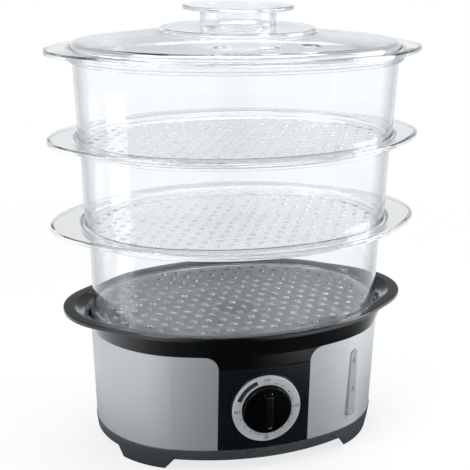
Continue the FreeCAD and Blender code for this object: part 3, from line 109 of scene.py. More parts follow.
# ---------------------------------------------------------------------------
# Plan shapes
# ---------------------------------------------------------------------------
class Oval:
    """Ovals of four tangent arcs that share their centres, each told by its end radius."""

    def __init__(self, end_centre, side_centre):
        self.end_centre = end_centre
        self.side_centre = side_centre
        self.offset = math.hypot(end_centre, side_centre)

    def ring(self, radius, level, turns=TURNS):
        """Points whose outward normals have these angles."""
        across, along = np.cos(turns), np.sin(turns)
        on_end = np.abs(across) > self.end_centre / self.offset
        reach = radius + self.offset
        x = np.where(on_end, np.sign(across) * self.end_centre + radius * across, reach * across)
        y = np.where(on_end, radius * along, reach * along - np.sign(along) * self.side_centre)
        return np.column_stack([x, y, np.full(len(turns), float(level))])

    def distance(self, x, y, radius):
        """How far points lie outside the oval of this end radius."""
        x, y = np.abs(x), np.abs(y)
        on_end = (x - self.end_centre) * self.side_centre > y * self.end_centre
        to_end = np.hypot(x - self.end_centre, y) - radius
        to_side = np.hypot(x, y + self.side_centre) - radius - self.offset
        return np.where(on_end, to_end, to_side)


def flange_oval():
    """The wide oval of the baskets' flanges, whose ends are round about the ears' centres."""
    half_width = span("basket_top")[1].y - FLANGE_END_RADIUS
    return Oval(EAR_CENTRE, (EAR_CENTRE ** 2 - half_width ** 2) / (2 * half_width))


BODY = Oval(END_CENTRE, SIDE_CENTRE)
FLANGE = flange_oval()


def circle(radius, level, turns=TURNS):
    """Points of a level circle about the Z axis."""
    heights = np.full(len(turns), float(level))
    return np.column_stack([radius * np.cos(turns), radius * np.sin(turns), heights])


# ---------------------------------------------------------------------------
# Node materials
# ---------------------------------------------------------------------------
class Tree:
    """Short forms for building the nodes of a new material or world."""

    def __init__(self, owner, output="OutputMaterial"):
        owner.use_nodes = True
        self.tree = owner.node_tree
        self.nodes = self.tree.nodes
        self.nodes.clear()
        self.output = self.add(output)

    def add(self, kind, inputs=None, **settings):
        """A node of this kind, with its settings, and its inputs set or linked."""
        node = self.nodes.new("ShaderNode" + kind)
        for key, value in settings.items():
            setattr(node, key, value)
        for key, value in (inputs or {}).items():
            self.put(node.inputs[key], value)
        return node

    def put(self, socket, value):
        """Link a socket's value in, or set it."""
        if isinstance(value, bpy.types.NodeSocket):
            self.tree.links.new(value, socket)
        else:
            socket.default_value = value

    def coordinates(self, scale):
        place = self.add("TexCoord")
        return self.add("Mapping", {"Vector": place.outputs["Object"], "Scale": scale}).outputs["Vector"]

    def noise(self, scale, detail, stretch=(1, 1, 1), roughness=0.5):
        node = self.add("TexNoise", {"Vector": self.coordinates(stretch), "Scale": scale,
                                     "Detail": detail, "Roughness": roughness})
        return node.outputs["Fac"]

    def spread(self, value, low, high, start=0.3, end=0.7, **settings):
        """A value's range from start to end, spread over low to high and held there."""
        node = self.add("MapRange", {"Value": value, "From Min": start, "From Max": end,
                                     "To Min": low, "To Max": high}, **settings)
        return node.outputs["Result"]

    def ramp(self, value, start, end, low, high):
        """As spread, but eased in and out."""
        return self.spread(value, low, high, start, end, interpolation_type="SMOOTHSTEP")

    def blend(self, share, first, second):
        """A colour between two others."""
        node = self.add("Mix", data_type="RGBA")
        self.put(node.inputs[0], share)
        self.put(node.inputs[6], first)
        self.put(node.inputs[7], second)
        return node.outputs[2]

    def compute(self, operation, *values, **settings):
        """A number from numbers."""
        return self.add("Math", dict(enumerate(values)), operation=operation, **settings).outputs[0]

    def vectors(self, operation, *values, result="Value"):
        """A number or a vector from vectors."""
        return self.add("VectorMath", dict(enumerate(values)), operation=operation).outputs[result]

    def mix(self, share, first, second):
        """A shader between two others."""
        return self.add("MixShader", {0: share, 1: first.outputs[0], 2: second.outputs[0]})

    def bump(self, height, strength, distance):
        node = self.add("Bump", {"Height": height, "Strength": strength, "Distance": distance})
        return node.outputs["Normal"]

    def show(self, shader, socket="Surface"):
        """Make a shader the surface or the volume."""
        self.put(self.output.inputs[socket], shader.outputs[0])


MATERIALS = {}


def material_nodes(name):
    """The nodes of a new material, which is kept by its name."""
    MATERIALS[name] = bpy.data.materials.new(name)
    return Tree(MATERIALS[name])


def shade(value):
    """A hex colour as Blender's linear numbers."""
    parts = [int(value[start:start + 2], 16) / 255 for start in (0, 2, 4)]
    linear = [part / 12.92 if part <= 0.04045 else ((part + 0.055) / 1.055) ** 2.4 for part in parts]
    return (*linear, 1.0)


# noise scales, and how strongly the finest noise shows as bump; grains and depths count in metres
PLASTIC_CLOUDS, METAL_CLOUDS, GLOSS_CLOUDS = 18.0, 9.0, 70.0
PLASTIC_BUMP, METAL_BUMP, CLEAR_BUMP = 0.35, 0.25, 0.06


def moulded(name, dark, pale, rough, rough_spread=0.06, grain=900.0, depth=0.00002, **extra):
    """Moulded plastic or rubber: a fine grain, faint colour clouds and uneven gloss."""
    tree = material_nodes(name)
    clouds = tree.noise(PLASTIC_CLOUDS, 5)
    fine = tree.noise(grain, 2)
    gloss = tree.noise(GLOSS_CLOUDS, 6)
    tree.show(tree.add("BsdfPrincipled", {
        "Base Color": tree.blend(tree.spread(clouds, 0, 1), shade(dark), shade(pale)),
        "Roughness": tree.spread(gloss, rough - rough_spread, rough + rough_spread),
        "Normal": tree.bump(fine, PLASTIC_BUMP, depth), **extra}))


def metal(name, dark, pale, rough, stretch=(1, 1, 1), scale=60.0, **extra):
    """Metal with fine streaks or specks, and faint clouds where it is less bright."""
    tree = material_nodes(name)
    streaks = tree.noise(scale, 6, stretch, 0.7)
    clouds = tree.noise(METAL_CLOUDS, 3)
    mixed = tree.compute("MULTIPLY_ADD", clouds, 0.25, streaks)
    tree.show(tree.add("BsdfPrincipled", {
        "Base Color": tree.blend(tree.spread(mixed, 0, 1, 0.4, 0.85), shade(dark), shade(pale)),
        "Roughness": tree.spread(streaks, rough - 0.05, rough + 0.08),
        "Normal": tree.bump(streaks, METAL_BUMP, 0.00001), "Metallic": 1.0, **extra}))
    return tree


def brushed(name, dark, pale, rough, **extra):
    """Metal brushed level all round an upright axis, so that it spreads light up and down."""
    tree = metal(name, dark, pale, rough, stretch=(1, 1, 60), scale=40.0,
                 **{"Anisotropic": 0.75, "Anisotropic Rotation": 0.25}, **extra)
    around = tree.add("Tangent", direction_type="RADIAL", axis="Z").outputs[0]
    tree.put(tree.nodes["Principled BSDF"].inputs["Tangent"], around)


CLEAR_TINT = (0.80, 0.86, 0.90, 1)       # what the volume lets through
CLEAR_LAMP = (0.93, 0.95, 0.96, 1)       # what a lamp's light keeps on its way to a shadow
CLEAR_EDGE_SHADE = (0.07, 0.085, 0.095, 1)     # painted shade: the dark grey an upright wall turns where it is seen edge on
EDGE_SHADE_START, EDGE_SHADE_FULL = 0.48, 0.95       # how far edge on a wall is where that painted shade starts and is full


def clear(name, density, pale, rough=0.02):
    """Clear moulded plastic that lets lamps through, its upright walls greyed by painted shade where seen
    edge on.
    """
    tree = material_nodes(name)
    flow = tree.noise(26.0, 3, (1, 1, 2.5))
    fine = tree.noise(160.0, 2)
    edge_on = tree.add("LayerWeight", {"Blend": 0.5}).outputs["Facing"]
    normal = tree.add("SeparateXYZ", {0: tree.add("NewGeometry").outputs["Normal"]})
    level = tree.compute("ABSOLUTE", normal.outputs["Z"])
    upright = tree.compute("SUBTRACT", edge_on, level, use_clamp=True)
    # painted shade: the base colour turns dark grey where an upright wall is seen edge on
    shader = tree.add("BsdfPrincipled", {
        "Base Color": tree.blend(tree.spread(upright, 0, 1, EDGE_SHADE_START, EDGE_SHADE_FULL), pale, CLEAR_EDGE_SHADE),
        "Transmission Weight": 1.0, "IOR": 1.52,
        "Roughness": tree.spread(fine, rough * 0.5, rough * 1.6),
        "Normal": tree.bump(flow, CLEAR_BUMP, 0.0003)})
    lamp = tree.add("BsdfTransparent", {"Color": CLEAR_LAMP})
    tree.show(tree.mix(tree.add("LightPath").outputs["Is Shadow Ray"], shader, lamp))
    tree.show(tree.add("VolumeAbsorption", {"Color": CLEAR_TINT, "Density": density}), "Volume")


# extras: the housing's deep gloss, and the grain of the glossy parts
GLOSS_SKIN = {"IOR": 1.5, "Coat Weight": 0.7, "Coat IOR": 1.5, "Coat Roughness": 0.04}
FINE_GRAIN = {"grain": 500.0, "depth": 0.00001}

moulded("black_gloss", "040506", "090b0c", 0.07, 0.02, **FINE_GRAIN, **GLOSS_SKIN)
moulded("panel_gloss", "0d1113", "14191b", 0.14, 0.04, **FINE_GRAIN)
moulded("knob_gloss", "020303", "050606", 0.18, 0.04, **FINE_GRAIN, **{"Specular IOR Level": 0.25})
moulded("charcoal_plastic", "3a4144", "454c4f", 0.3, IOR=1.6)
moulded("dark_print", "1c2022", "262b2d", 0.6)
brushed("brushed_steel", "c9cbcd", "d1d3d4", 0.4, Metallic=0.65)
metal("dial_silver", "b9bec2", "c9cdd0", 0.5, scale=300.0, Metallic=0.25)
clear("clear_plastic", 2.0, (0.978, 0.989, 0.997, 1))
clear("clear_lid", 2.5, (0.937, 0.954, 0.968, 1))
moulded("gauge_clear", "b4babe", "cdd3d6", 0.12, 0.03, grain=300.0, depth=0.00001,
        **{"Transmission Weight": 0.4})
moulded("rubber", "17191a", "212425", 0.75)
metal("zinc_steel", "9aa0a3", "b9bec0", 0.3)
metal("aluminium", "a5a9ab", "c4c7c8", 0.38)
metal("brass", "a8884a", "c8a866", 0.3)
moulded("ceramic_white", "d5d3cb", "e2e0d9", 0.5)
moulded("wire_brown", "4a2a18", "5c3622", 0.45)
moulded("wire_blue", "1d4f8a", "28609f", 0.45)
moulded("wire_green", "4b7a2a", "6e9a3a", 0.45)

# CAD nodes that keep their own shape, by their finish
CAD_FINISHES = {
    "charcoal_plastic": ("base_plate", "lower_shell", "water_tank", "cord_gland", "steam_ring", "drip_tray"),
    "brushed_steel": ("steel_wrap",),
    "gauge_clear": ("gauge_window",),
    "rubber": ("foot_pads", "gauge_seal", "heater_gasket"),
    "zinc_steel": ("base_screws", "timer_shaft", "timer_housing", "timer_bell", "timer_screws",
                   "heating_element", "heater_screws"),
    "aluminium": ("heater_plate", "thermostat"),
    "brass": ("heater_pins",),
    "ceramic_white": ("thermal_fuse", "terminal_block"),
    "wire_brown": ("live_wire", "switched_wire"),
    "wire_blue": ("neutral_wire",),
    "wire_green": ("earth_wire",),
}


def dress(piece, slot, finish=None):
    """Give a piece its slot's material or another finish."""
    piece.data.materials.clear()
    piece.data.materials.append(MATERIALS[finish or slot])


# ---------------------------------------------------------------------------
# Mesh tools
# ---------------------------------------------------------------------------
SHARP_ANGLE = math.radians(40)
WELD_DISTANCE = 0.001
NEAR_HALFWAY = 0.46          # the most of an edge that one end's rounding may take


class Shell:
    """Points in millimetres and faces between them, gathered into one mesh."""

    def __init__(self):
        self.points = []
        self.faces = []
        self.count = 0

    def add(self, points):
        """Keep points, and return their numbers."""
        start = self.count
        self.points.append(np.asarray(points, float))
        self.count += len(points)
        return np.arange(start, self.count)

    def join(self, first, second, closed=True):
        """Quads between two rows of equally many points."""
        if closed:
            first, second = np.append(first, first[0]), np.append(second, second[0])
        self.faces.extend(np.column_stack([first[:-1], first[1:], second[1:], second[:-1]]).tolist())

    def stack(self, rings, closed=False, loops=True):
        """Join rings one to the next, and the last to the first when closed."""
        rows = [self.add(ring) for ring in rings]
        pairs = list(zip(rows, rows[1:]))
        if closed:
            pairs.append((rows[-1], rows[0]))
        for first, second in pairs:
            self.join(first, second, loops)
        return rows

    def lie_down(self, level):
        """Turn what was built about Z to face the front, its axis at a level on the middle plane."""
        for index, points in enumerate(self.points):
            x, y, z = points.T
            self.points[index] = np.column_stack([x, -z, y + level])

    def cap(self, *rows):
        """Close rows of points with one flat face each."""
        self.faces.extend([int(number) for number in row] for row in rows)

    def piece(self, name, slot, body, stands_for=(), finish=None):
        """Make the object: welded, with outward normals, smooth but for its sharp edges."""
        mesh = bpy.data.meshes.new(name)
        mesh.from_pydata((np.concatenate(self.points) * MM).tolist(), [], self.faces)
        work = bmesh.new()
        work.from_mesh(mesh)
        bmesh.ops.remove_doubles(work, verts=work.verts, dist=WELD_DISTANCE * MM)
        bmesh.ops.recalc_face_normals(work, faces=work.faces)
        for face in work.faces:
            face.smooth = True
        for edge in work.edges:
            edge.smooth = edge.is_manifold and edge.calc_face_angle(0.0) < SHARP_ANGLE
        work.to_mesh(mesh)
        work.free()
        return place(bpy.data.objects.new(name, mesh), slot, body, stands_for, finish)


def place(piece, slot, body, stands_for=(), finish=None):
    """Show a finished object, weight its normals by face area, and fix it to its body."""
    bpy.context.scene.collection.objects.link(piece)
    weighting = piece.modifiers.new("even_flats", "WEIGHTED_NORMAL")
    weighting.keep_sharp = True
    dress(piece, slot, finish)
    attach(piece, body)
    if stands_for:
        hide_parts(*stands_for)
    return piece


def step_back(point, towards, setback):
    """Move points towards others by a setback, but no further than near the halfway place."""
    way = towards - point
    length = np.linalg.norm(way, axis=1, keepdims=True)
    share = np.minimum(setback / np.maximum(length, 1e-9), NEAR_HALFWAY)
    return point + way * share


def rounded(stations, closed=False, steps=4):
    """Rings through stations of (ring, setback), with each corner rounded over its setback."""
    rings = []
    last = len(stations) - 1
    for index, (corner, setback) in enumerate(stations):
        at_end = not closed and index in (0, last)
        if at_end or not setback:
            rings.append(corner)
            continue
        start = step_back(corner, stations[index - 1][0], setback)
        end = step_back(corner, stations[(index + 1) % len(stations)][0], setback)
        for share in np.linspace(0, 1, steps):
            rings.append((1 - share) ** 2 * start + 2 * share * (1 - share) * corner + share ** 2 * end)
    return rings


# ---------------------------------------------------------------------------
# Baskets
# ---------------------------------------------------------------------------
def hole_centres(foot_radius):
    """Staggered rows of holes that stay inside the basket's floor."""
    reach = foot_radius - HOLE_MARGIN
    places = []
    rows = int(reach // HOLE_PITCH)
    columns = int((END_CENTRE + reach) // HOLE_PITCH) + 1
    for row in range(-rows, rows + 1):
        shift = HOLE_PITCH / 2 if row % 2 else 0
        for column in range(-columns, columns + 1):
            x, y = column * HOLE_PITCH + shift, row * HOLE_PITCH
            if BODY.distance(x, y, reach) <= 0:
                places.append((x, y))
    return np.array(places)


def fill_round_holes(shell, rim, circles, points):
    """Triangles between a rim and the circles inside it."""
    loops = [rim] + circles
    order = np.concatenate(loops)
    loop_of = np.repeat(np.arange(len(loops)), [len(loop) for loop in loops])
    edges = []
    for index in range(len(loops)):
        loop = np.flatnonzero(loop_of == index)
        edges.extend(np.column_stack([loop, np.roll(loop, -1)]).tolist())
    _, _, faces, origins = delaunay_2d_cdt([Vector(point[:2]) for point in points], edges, [], 0, 1e-5)[:4]
    source = np.array([origin[0] for origin in origins])
    triangles = source[np.array(faces)]
    owners = loop_of[triangles]
    in_hole = (owners[:, 0] > 0) & (owners[:, 0] == owners[:, 1]) & (owners[:, 0] == owners[:, 2])
    shell.faces.extend(order[triangles[~in_hole]].tolist())


def add_perforated_floor(shell, upper_rim, lower_rim, upper_ring, lower_ring, foot_radius):
    """Close a basket's bottom with a plate full of holes, each with an eased edge on both faces."""
    centres = hole_centres(foot_radius)
    turns = all_round(HOLE_SIDES)
    top, bottom = upper_ring[0, 2], lower_ring[0, 2]
    levels = ((HOLE_RADIUS + HOLE_MOUTH, top), (HOLE_RADIUS, top - HOLE_MOUTH),
              (HOLE_RADIUS, bottom + HOLE_MOUTH), (HOLE_RADIUS + HOLE_MOUTH, bottom))
    mouths = {"upper": [], "lower": []}
    edges = {"upper": [], "lower": []}
    for x, y in centres:
        rings = [circle(radius, level, turns) + (x, y, 0) for radius, level in levels]
        rows = shell.stack(rings)
        for side, row, ring in (("upper", rows[0], rings[0]), ("lower", rows[-1], rings[-1])):
            mouths[side].append(row)
            edges[side].append(ring)
    for side, rim, ring in (("upper", upper_rim, upper_ring), ("lower", lower_rim, lower_ring)):
        fill_round_holes(shell, rim, mouths[side], np.concatenate([ring] + edges[side]))


def make_basket(node, guest_foot):
    """A clear tapered bowl on a foot ring, with a seat for the next tier and an oval flange."""
    foot, mouth = TIERS[node]
    low, high = span(node)
    seat, top = low.z, high.z
    next_seat = top - FLANGE_RISE
    guest = guest_foot + SEAT_CLEARANCE
    collar = guest + CLEAR_WALL
    under = next_seat - CLEAR_WALL
    wall_at_collar = mouth - (mouth - foot) * CLEAR_WALL / BASKET_PITCH
    floor, ceiling = seat + FOOT_HEIGHT, seat + FOOT_HEIGHT + CLEAR_WALL
    plate, lip = top - FLANGE_PLATE, top - FLANGE_LIP
    inner_flange = FLANGE_END_RADIUS - FLANGE_LIP_WALL
    inside = foot - CLEAR_WALL
    ledge = foot - FOOT_WALL
    stations = [
        (BODY.ring(ledge - FLOOR_MARGIN, floor), 0),
        (BODY.ring(ledge, floor), 0.5),
        (BODY.ring(ledge, seat + CONTACT_GAP), 0.5),
        (BODY.ring(foot, seat + CONTACT_GAP), 0.8),
        (BODY.ring(wall_at_collar, under), 1.0),
        (BODY.ring(collar, under), 1.8),
        (BODY.ring(collar, plate), 1.5),
        (FLANGE.ring(inner_flange, plate), 0.8),
        (FLANGE.ring(inner_flange, lip), 0.5),
        (FLANGE.ring(FLANGE_END_RADIUS, lip), 0.8),
        (FLANGE.ring(FLANGE_END_RADIUS, top), 2.0),
        (BODY.ring(guest, top), 1.0),
        (BODY.ring(guest, next_seat), 0.8),
        (BODY.ring(mouth - CLEAR_WALL, next_seat), 0.8),
        (BODY.ring(inside, ceiling), 1.6),
        (BODY.ring(inside - CEILING_MARGIN, ceiling), 0),
    ]
    shell = Shell()
    rings = rounded(stations)
    rows = shell.stack(rings)
    add_perforated_floor(shell, rows[-1], rows[0], rings[-1], rings[0], foot)
    shell.piece(node + "_bowl", "clear_plastic", node, [node])


# ---------------------------------------------------------------------------
# Lid and its spool-shaped knob
# ---------------------------------------------------------------------------
LID_SKIRT = 13.0
LID_DOME = 8.0
LID_PLATE_RADIUS = 67.5
SPIGOT_RADIUS = 24.0
VENT_LENGTH = 15.0
VENT_WIDTH = 3.6
VENT_CIRCLE = 92.0
VENT_STEP = math.radians(23)
SLOPE_SHARES = np.linspace(0.3, 0.84, 11)    # rings where the vents cut, so that the cuts meet narrow faces
SPIGOT_GAP = 0.1


def make_lid():
    """A shallow dome from the oval skirt up to a round plate, with steam vents on both long sides."""
    seat, top = LID_LOW.z + CONTACT_GAP, LID_HIGH.z
    shoulder = LID_LOW.z + LID_SKIRT
    plate = shoulder + LID_DOME
    outer = LID_HIGH.x - END_CENTRE
    inner, well = outer - CLEAR_WALL, LID_PLATE_RADIUS - CLEAR_WALL
    hole = SPIGOT_RADIUS + SPIGOT_GAP
    outer_low, outer_high = BODY.ring(outer, shoulder), circle(LID_PLATE_RADIUS, plate)
    inner_low, inner_high = BODY.ring(inner, shoulder - CLEAR_WALL), circle(well, plate - CLEAR_WALL)
    stations = [
        (BODY.ring(outer, seat), 0.7),
        (outer_low, 5.0),
        *[(outer_low + (outer_high - outer_low) * share, 0) for share in SLOPE_SHARES],
        (outer_high, 2.5),
        (circle(LID_PLATE_RADIUS, top), 1.4),
        (circle(hole, top), 0.4),
        (circle(hole, top - CLEAR_WALL), 0.4),
        (circle(well, top - CLEAR_WALL), 1.2),
        (inner_high, 1.5),
        *[(inner_low + (inner_high - inner_low) * share, 0) for share in SLOPE_SHARES[::-1]],
        (inner_low, 4.0),
        (BODY.ring(inner, seat), 0.7),
    ]
    shell = Shell()
    shell.stack(rounded(stations, closed=True, steps=6), closed=True)
    piece = shell.piece("lid_dome", "clear_plastic", "lid", ["lid"], "clear_lid")
    cut_vents(piece, seat)


def cut_vents(piece, seat):
    """Cut the slots through the dome with a set of prisms, and keep only the result."""
    tool = Shell()
    radius, reach = VENT_WIDTH / 2, (VENT_LENGTH - VENT_WIDTH) / 2
    inside, above = seat + 2.0, seat + LID_SKIRT + LID_DOME + 5.0
    turns = all_round(24)
    for turn in (-VENT_STEP, 0.0, VENT_STEP):
        for face in (-1, 1):
            x, y = VENT_CIRCLE * math.sin(turn), face * VENT_CIRCLE * math.cos(turn)
            outline = circle(radius, 0, turns) + (x, y, 0)
            outline[:, 0] += np.where(np.cos(turns) >= -1e-9, reach, -reach)
            rows = [tool.add(outline + (0, 0, level)) for level in (inside, above)]
            tool.join(*rows)
            tool.cap(*rows)
    cutter = tool.piece("vent_cutter", "clear_plastic", "lid")
    cutter.modifiers.clear()
    slots = piece.modifiers.new("vents", "BOOLEAN")
    slots.operation = "DIFFERENCE"
    slots.object = cutter
    slots.solver = "EXACT"
    bpy.context.view_layer.update()
    depsgraph = bpy.context.evaluated_depsgraph_get()
    result = bpy.data.meshes.new_from_object(piece.evaluated_get(depsgraph))
    piece.modifiers.remove(slots)
    piece.data = result
    bpy.data.objects.remove(cutter)


NECK_RADIUS = 33.0
NECK_WALL = 2.5
DISC_THICKNESS = 3.5
SPIGOT_WALL = 3.0
SNAP_REACH = 1.0


def make_spool():
    """A round neck under a wider disc, hollow from below, on a spigot that snaps into the lid."""
    low, top = SPOOL_LOW.z, SPOOL_HIGH.z
    foot = LID_HIGH.z + CONTACT_GAP
    disc, under_disc = SPOOL_HIGH.x, top - DISC_THICKNESS
    snap, snap_top = SPIGOT_RADIUS + SNAP_REACH, foot - CLEAR_WALL - SPIGOT_GAP
    bore, hollow = SPIGOT_RADIUS - SPIGOT_WALL, NECK_RADIUS - NECK_WALL
    floor, ceiling = foot + NECK_WALL, top - NECK_WALL
    stations = [
        (circle(0, top), 0),
        (circle(disc, top), 1.5),
        (circle(disc, under_disc), 1.1),
        (circle(NECK_RADIUS, under_disc), 2.5),
        (circle(NECK_RADIUS, foot), 1.0),
        (circle(SPIGOT_RADIUS, foot), 0),
        (circle(SPIGOT_RADIUS, snap_top), 0),
        (circle(snap, snap_top), 0.4),
        (circle(snap, low), 0.4),
        (circle(bore, low), 0.4),
        (circle(bore, floor), 0.8),
        (circle(hollow, floor), 2.0),
        (circle(hollow, ceiling), 2.0),
        (circle(0, ceiling), 0),
    ]
    shell = Shell()
    shell.stack(rounded(stations))
    shell.piece("lid_spool", "clear_plastic", "lid", ["lid_knob"], "clear_lid")


# ---------------------------------------------------------------------------
# Upper housing: skirt, rim, ears with hollow scoops, and the seat across them
# ---------------------------------------------------------------------------
RIM_LIP = 4.0
RIM_END_RADIUS = 97.0
SKIRT_END_RADIUS = STEEL_END_HIGH + 0.3
SKIRT_WALL = 1.3
RECESS_END_RADIUS = 89.7
RECESS_DEPTH = 7.0
RECESS_EASE = 1.5            # how far under the rim the recess's wall starts
MOUTH_END_RADIUS = 79.0
DECK = 3.0
SCOOP_FLOOR = 1.0            # how far the scoops' floors lie above the steel's top
EAR_RADIUS = 62.0
EAR_LIP_WIDTH = 10.0
EAR_WALL = 3.0
EAR_HIDDEN = 5.0             # how far an ear's circle lies inside the oval where there is no ear
BLEND_SHARE = 0.6            # how softly oval and ear meet, as a share of how far the ear sticks out
RAY_START, RAY_END, RAY_HALVINGS = 20.0, 240.0, 36


def joined_outline(radius, ear_radius, level, turns):
    """The body's oval run softly into the two ear circles, found along rays from the middle."""
    stick_out = EAR_CENTRE + ear_radius - END_CENTRE - radius
    softness = max(BLEND_SHARE * stick_out, 0.01)
    low, high = np.full(len(turns), RAY_START), np.full(len(turns), RAY_END)
    for _ in range(RAY_HALVINGS):
        middle = (low + high) / 2
        x, y = middle * np.cos(turns), middle * np.sin(turns)
        oval = BODY.distance(x, y, radius)
        ear = np.hypot(np.abs(x) - EAR_CENTRE, y) - ear_radius
        share = np.clip(0.5 + (ear - oval) / (2 * softness), 0, 1)
        inside = ear + (oval - ear) * share - softness * share * (1 - share) < 0
        low, high = np.where(inside, middle, low), np.where(inside, high, middle)
    return np.column_stack([low * np.cos(turns), low * np.sin(turns), np.full(len(turns), level)])


def make_upper_housing():
    """One closed wall: up the flared skirt, over the rim, and down the seat, the scoops and the mouth."""
    turns = all_round(480)
    top, foot = HOUSING_TOP, STEEL_HIGH.z
    under = top - RIM_LIP
    rise = under - foot
    pivot = END_CENTRE + SKIRT_END_RADIUS - EAR_CENTRE + rise
    scoop_reach = rise + EAR_WALL
    scoop_rim = EAR_RADIUS - EAR_LIP_WIDTH
    floor, deck_low = foot + SCOOP_FLOOR, foot - DECK
    seat = top - RECESS_DEPTH

    def station(radius, ear, level, setback=0.0):
        return joined_outline(radius, ear, level, turns), setback

    def scoop_at(level):
        return pivot - math.sqrt(scoop_reach ** 2 - (level - foot) ** 2)

    no_ear = END_CENTRE + MOUTH_END_RADIUS - EAR_CENTRE - EAR_HIDDEN
    inner_skirt = SKIRT_END_RADIUS - SKIRT_WALL
    stations = [station(MOUTH_END_RADIUS, no_ear, deck_low, 0.4),
                station(inner_skirt, no_ear, deck_low, 0.4),
                station(inner_skirt, no_ear, foot)]
    for angle in np.radians(np.linspace(0, 90, 13)):
        stations.append(station(SKIRT_END_RADIUS + (RIM_END_RADIUS - SKIRT_END_RADIUS) * math.sin(angle),
                                pivot - rise * math.cos(angle), foot + rise * math.sin(angle)))
    stations += [station(RIM_END_RADIUS, EAR_RADIUS, under, 0.9),
                 station(RIM_END_RADIUS, EAR_RADIUS, top, 1.3),
                 station(RECESS_END_RADIUS, scoop_rim, top, 1.1)]
    upright = foot + scoop_reach * 0.998         # just under where the scoop's wall would stand upright
    for level in np.linspace(top - RECESS_EASE, seat, 8):
        stations.append(station(RECESS_END_RADIUS, scoop_at(min(level, upright)), level))
    for level in np.linspace(seat, floor, 8):
        stations.append(station(MOUTH_END_RADIUS, scoop_at(level), level, 0.5 if level == seat else 0.0))
    stations.append(station(MOUTH_END_RADIUS, no_ear, floor))
    shell = Shell()
    shell.stack(rounded(stations, closed=True), closed=True)
    shell.piece("housing_shell", "black_gloss", "base", ["upper_housing"])
    for name, facing in (("seat_bridge_right", 0.0), ("seat_bridge_left", math.pi)):
        make_seat_bridge(name, facing, seat)


def make_seat_bridge(name, facing, seat):
    """The stretch of the basket's seat that crosses an ear's scoop."""
    half_sweep, thickness, sink, ease = math.radians(28), 3.0, 0.03, 0.6
    turns = facing + np.linspace(-half_sweep, half_sweep, 40)
    outer, inner = RECESS_END_RADIUS + SEAT_CLEARANCE, MOUTH_END_RADIUS + sink
    upper, lower = seat - sink, seat - thickness
    corners = ((inner, upper), (outer, upper), (outer, lower), (inner, lower))
    shell = Shell()
    rows = shell.stack(rounded([(BODY.ring(radius, level, turns), ease) for radius, level in corners],
                               closed=True), closed=True, loops=False)
    shell.cap([row[0] for row in rows], [row[-1] for row in rows])
    shell.piece(name, "black_gloss", "base")


# ---------------------------------------------------------------------------
# Control panel and the apron of the housing above it
# ---------------------------------------------------------------------------
PANEL_HALF_WIDTH = 41.0
PANEL_WALL = 2.5
PANEL_SEAM = 0.3
SHOULDER = 12.0
APRON_OVERLAP = 2.0          # how far the apron runs up behind the skirt's foot
EDGE_EASE = 0.7
EASE_SHARES = np.array([0.0, 0.12, 0.35])    # where rows of points lie across an eased edge
FRONT_STEPS = 24             # points from the eased edge to the middle


def front_surface(x, z, inset):
    """How far back the steel's surface lies at a place on the front."""
    radius = STEEL_END_LOW + STEEL_SLOPE * (z - STEEL_LOW.z) - inset
    return BODY.side_centre - np.sqrt((radius + BODY.offset) ** 2 - x ** 2)


def front_sheet(name, x, low, high, gap_to_edge, stands_for=(), finish=None):
    """A curved sheet flush with the steel between two edges, its outline eased all round."""
    eases = EDGE_EASE * np.append(EASE_SHARES, 1.0)
    rows = [low + ease for ease in eases] + [high - ease for ease in eases[::-1]]
    shell = Shell()
    front = []
    for z in rows:
        short = np.clip(1 - gap_to_edge(x, z) / EDGE_EASE, 0, 1)
        drop = EDGE_EASE * (1 - np.sqrt(1 - short ** 2))
        front.append(np.column_stack([x, front_surface(x, z, drop), z]))
    back = [np.column_stack([x, front_surface(x, z, PANEL_WALL), z]) for z in (rows[0], rows[-1])]
    numbers = shell.stack(front + back[::-1], closed=True, loops=False)
    shell.cap([row[0] for row in numbers], [row[-1] for row in numbers])
    shell.piece(name, "black_gloss", "base", stands_for, finish)


def both_sides(half):
    """Places across the front from -half to half, told from the outer edge to the middle."""
    return np.concatenate([-half, half[-2::-1]])


def make_panel():
    """The control panel between the steel's two ends."""
    x = both_sides(np.concatenate([PANEL_HALF_WIDTH - EDGE_EASE * EASE_SHARES,
                                   np.linspace(PANEL_HALF_WIDTH - EDGE_EASE, 0, FRONT_STEPS)]))
    low = np.full(len(x), PANEL_FOOT)
    high = np.full(len(x), STEEL_HIGH.z - SHOULDER - PANEL_SEAM)

    def gap(x, z):
        return np.minimum(np.minimum(z - low, high - z), PANEL_HALF_WIDTH - np.abs(x))

    front_sheet("front_panel", x, low, high, gap, ["control_panel"], "panel_gloss")


def make_apron():
    """The housing's front apron, hollowed at both corners where the steel's shoulders come up."""
    bottom, outer = STEEL_HIGH.z - SHOULDER, PANEL_HALF_WIDTH + SHOULDER
    turns = np.radians(np.linspace(1, 84, 22))
    corner = outer - SHOULDER * np.cos(turns)
    x = both_sides(np.concatenate([corner[::-1], np.linspace(PANEL_HALF_WIDTH, 0, FRONT_STEPS)]))
    rise = np.sqrt(np.maximum(SHOULDER ** 2 - (outer - np.abs(x)) ** 2, 0))
    low = np.where(np.abs(x) > PANEL_HALF_WIDTH, bottom + rise, bottom)
    high = np.full(len(x), STEEL_HIGH.z + APRON_OVERLAP)

    def gap(x, z):
        to_corner = np.hypot(outer - np.abs(x), z - bottom) - SHOULDER
        return np.where(np.abs(x) > PANEL_HALF_WIDTH, np.maximum(to_corner, 0), z - low)

    front_sheet("front_apron", x, low, high, gap)


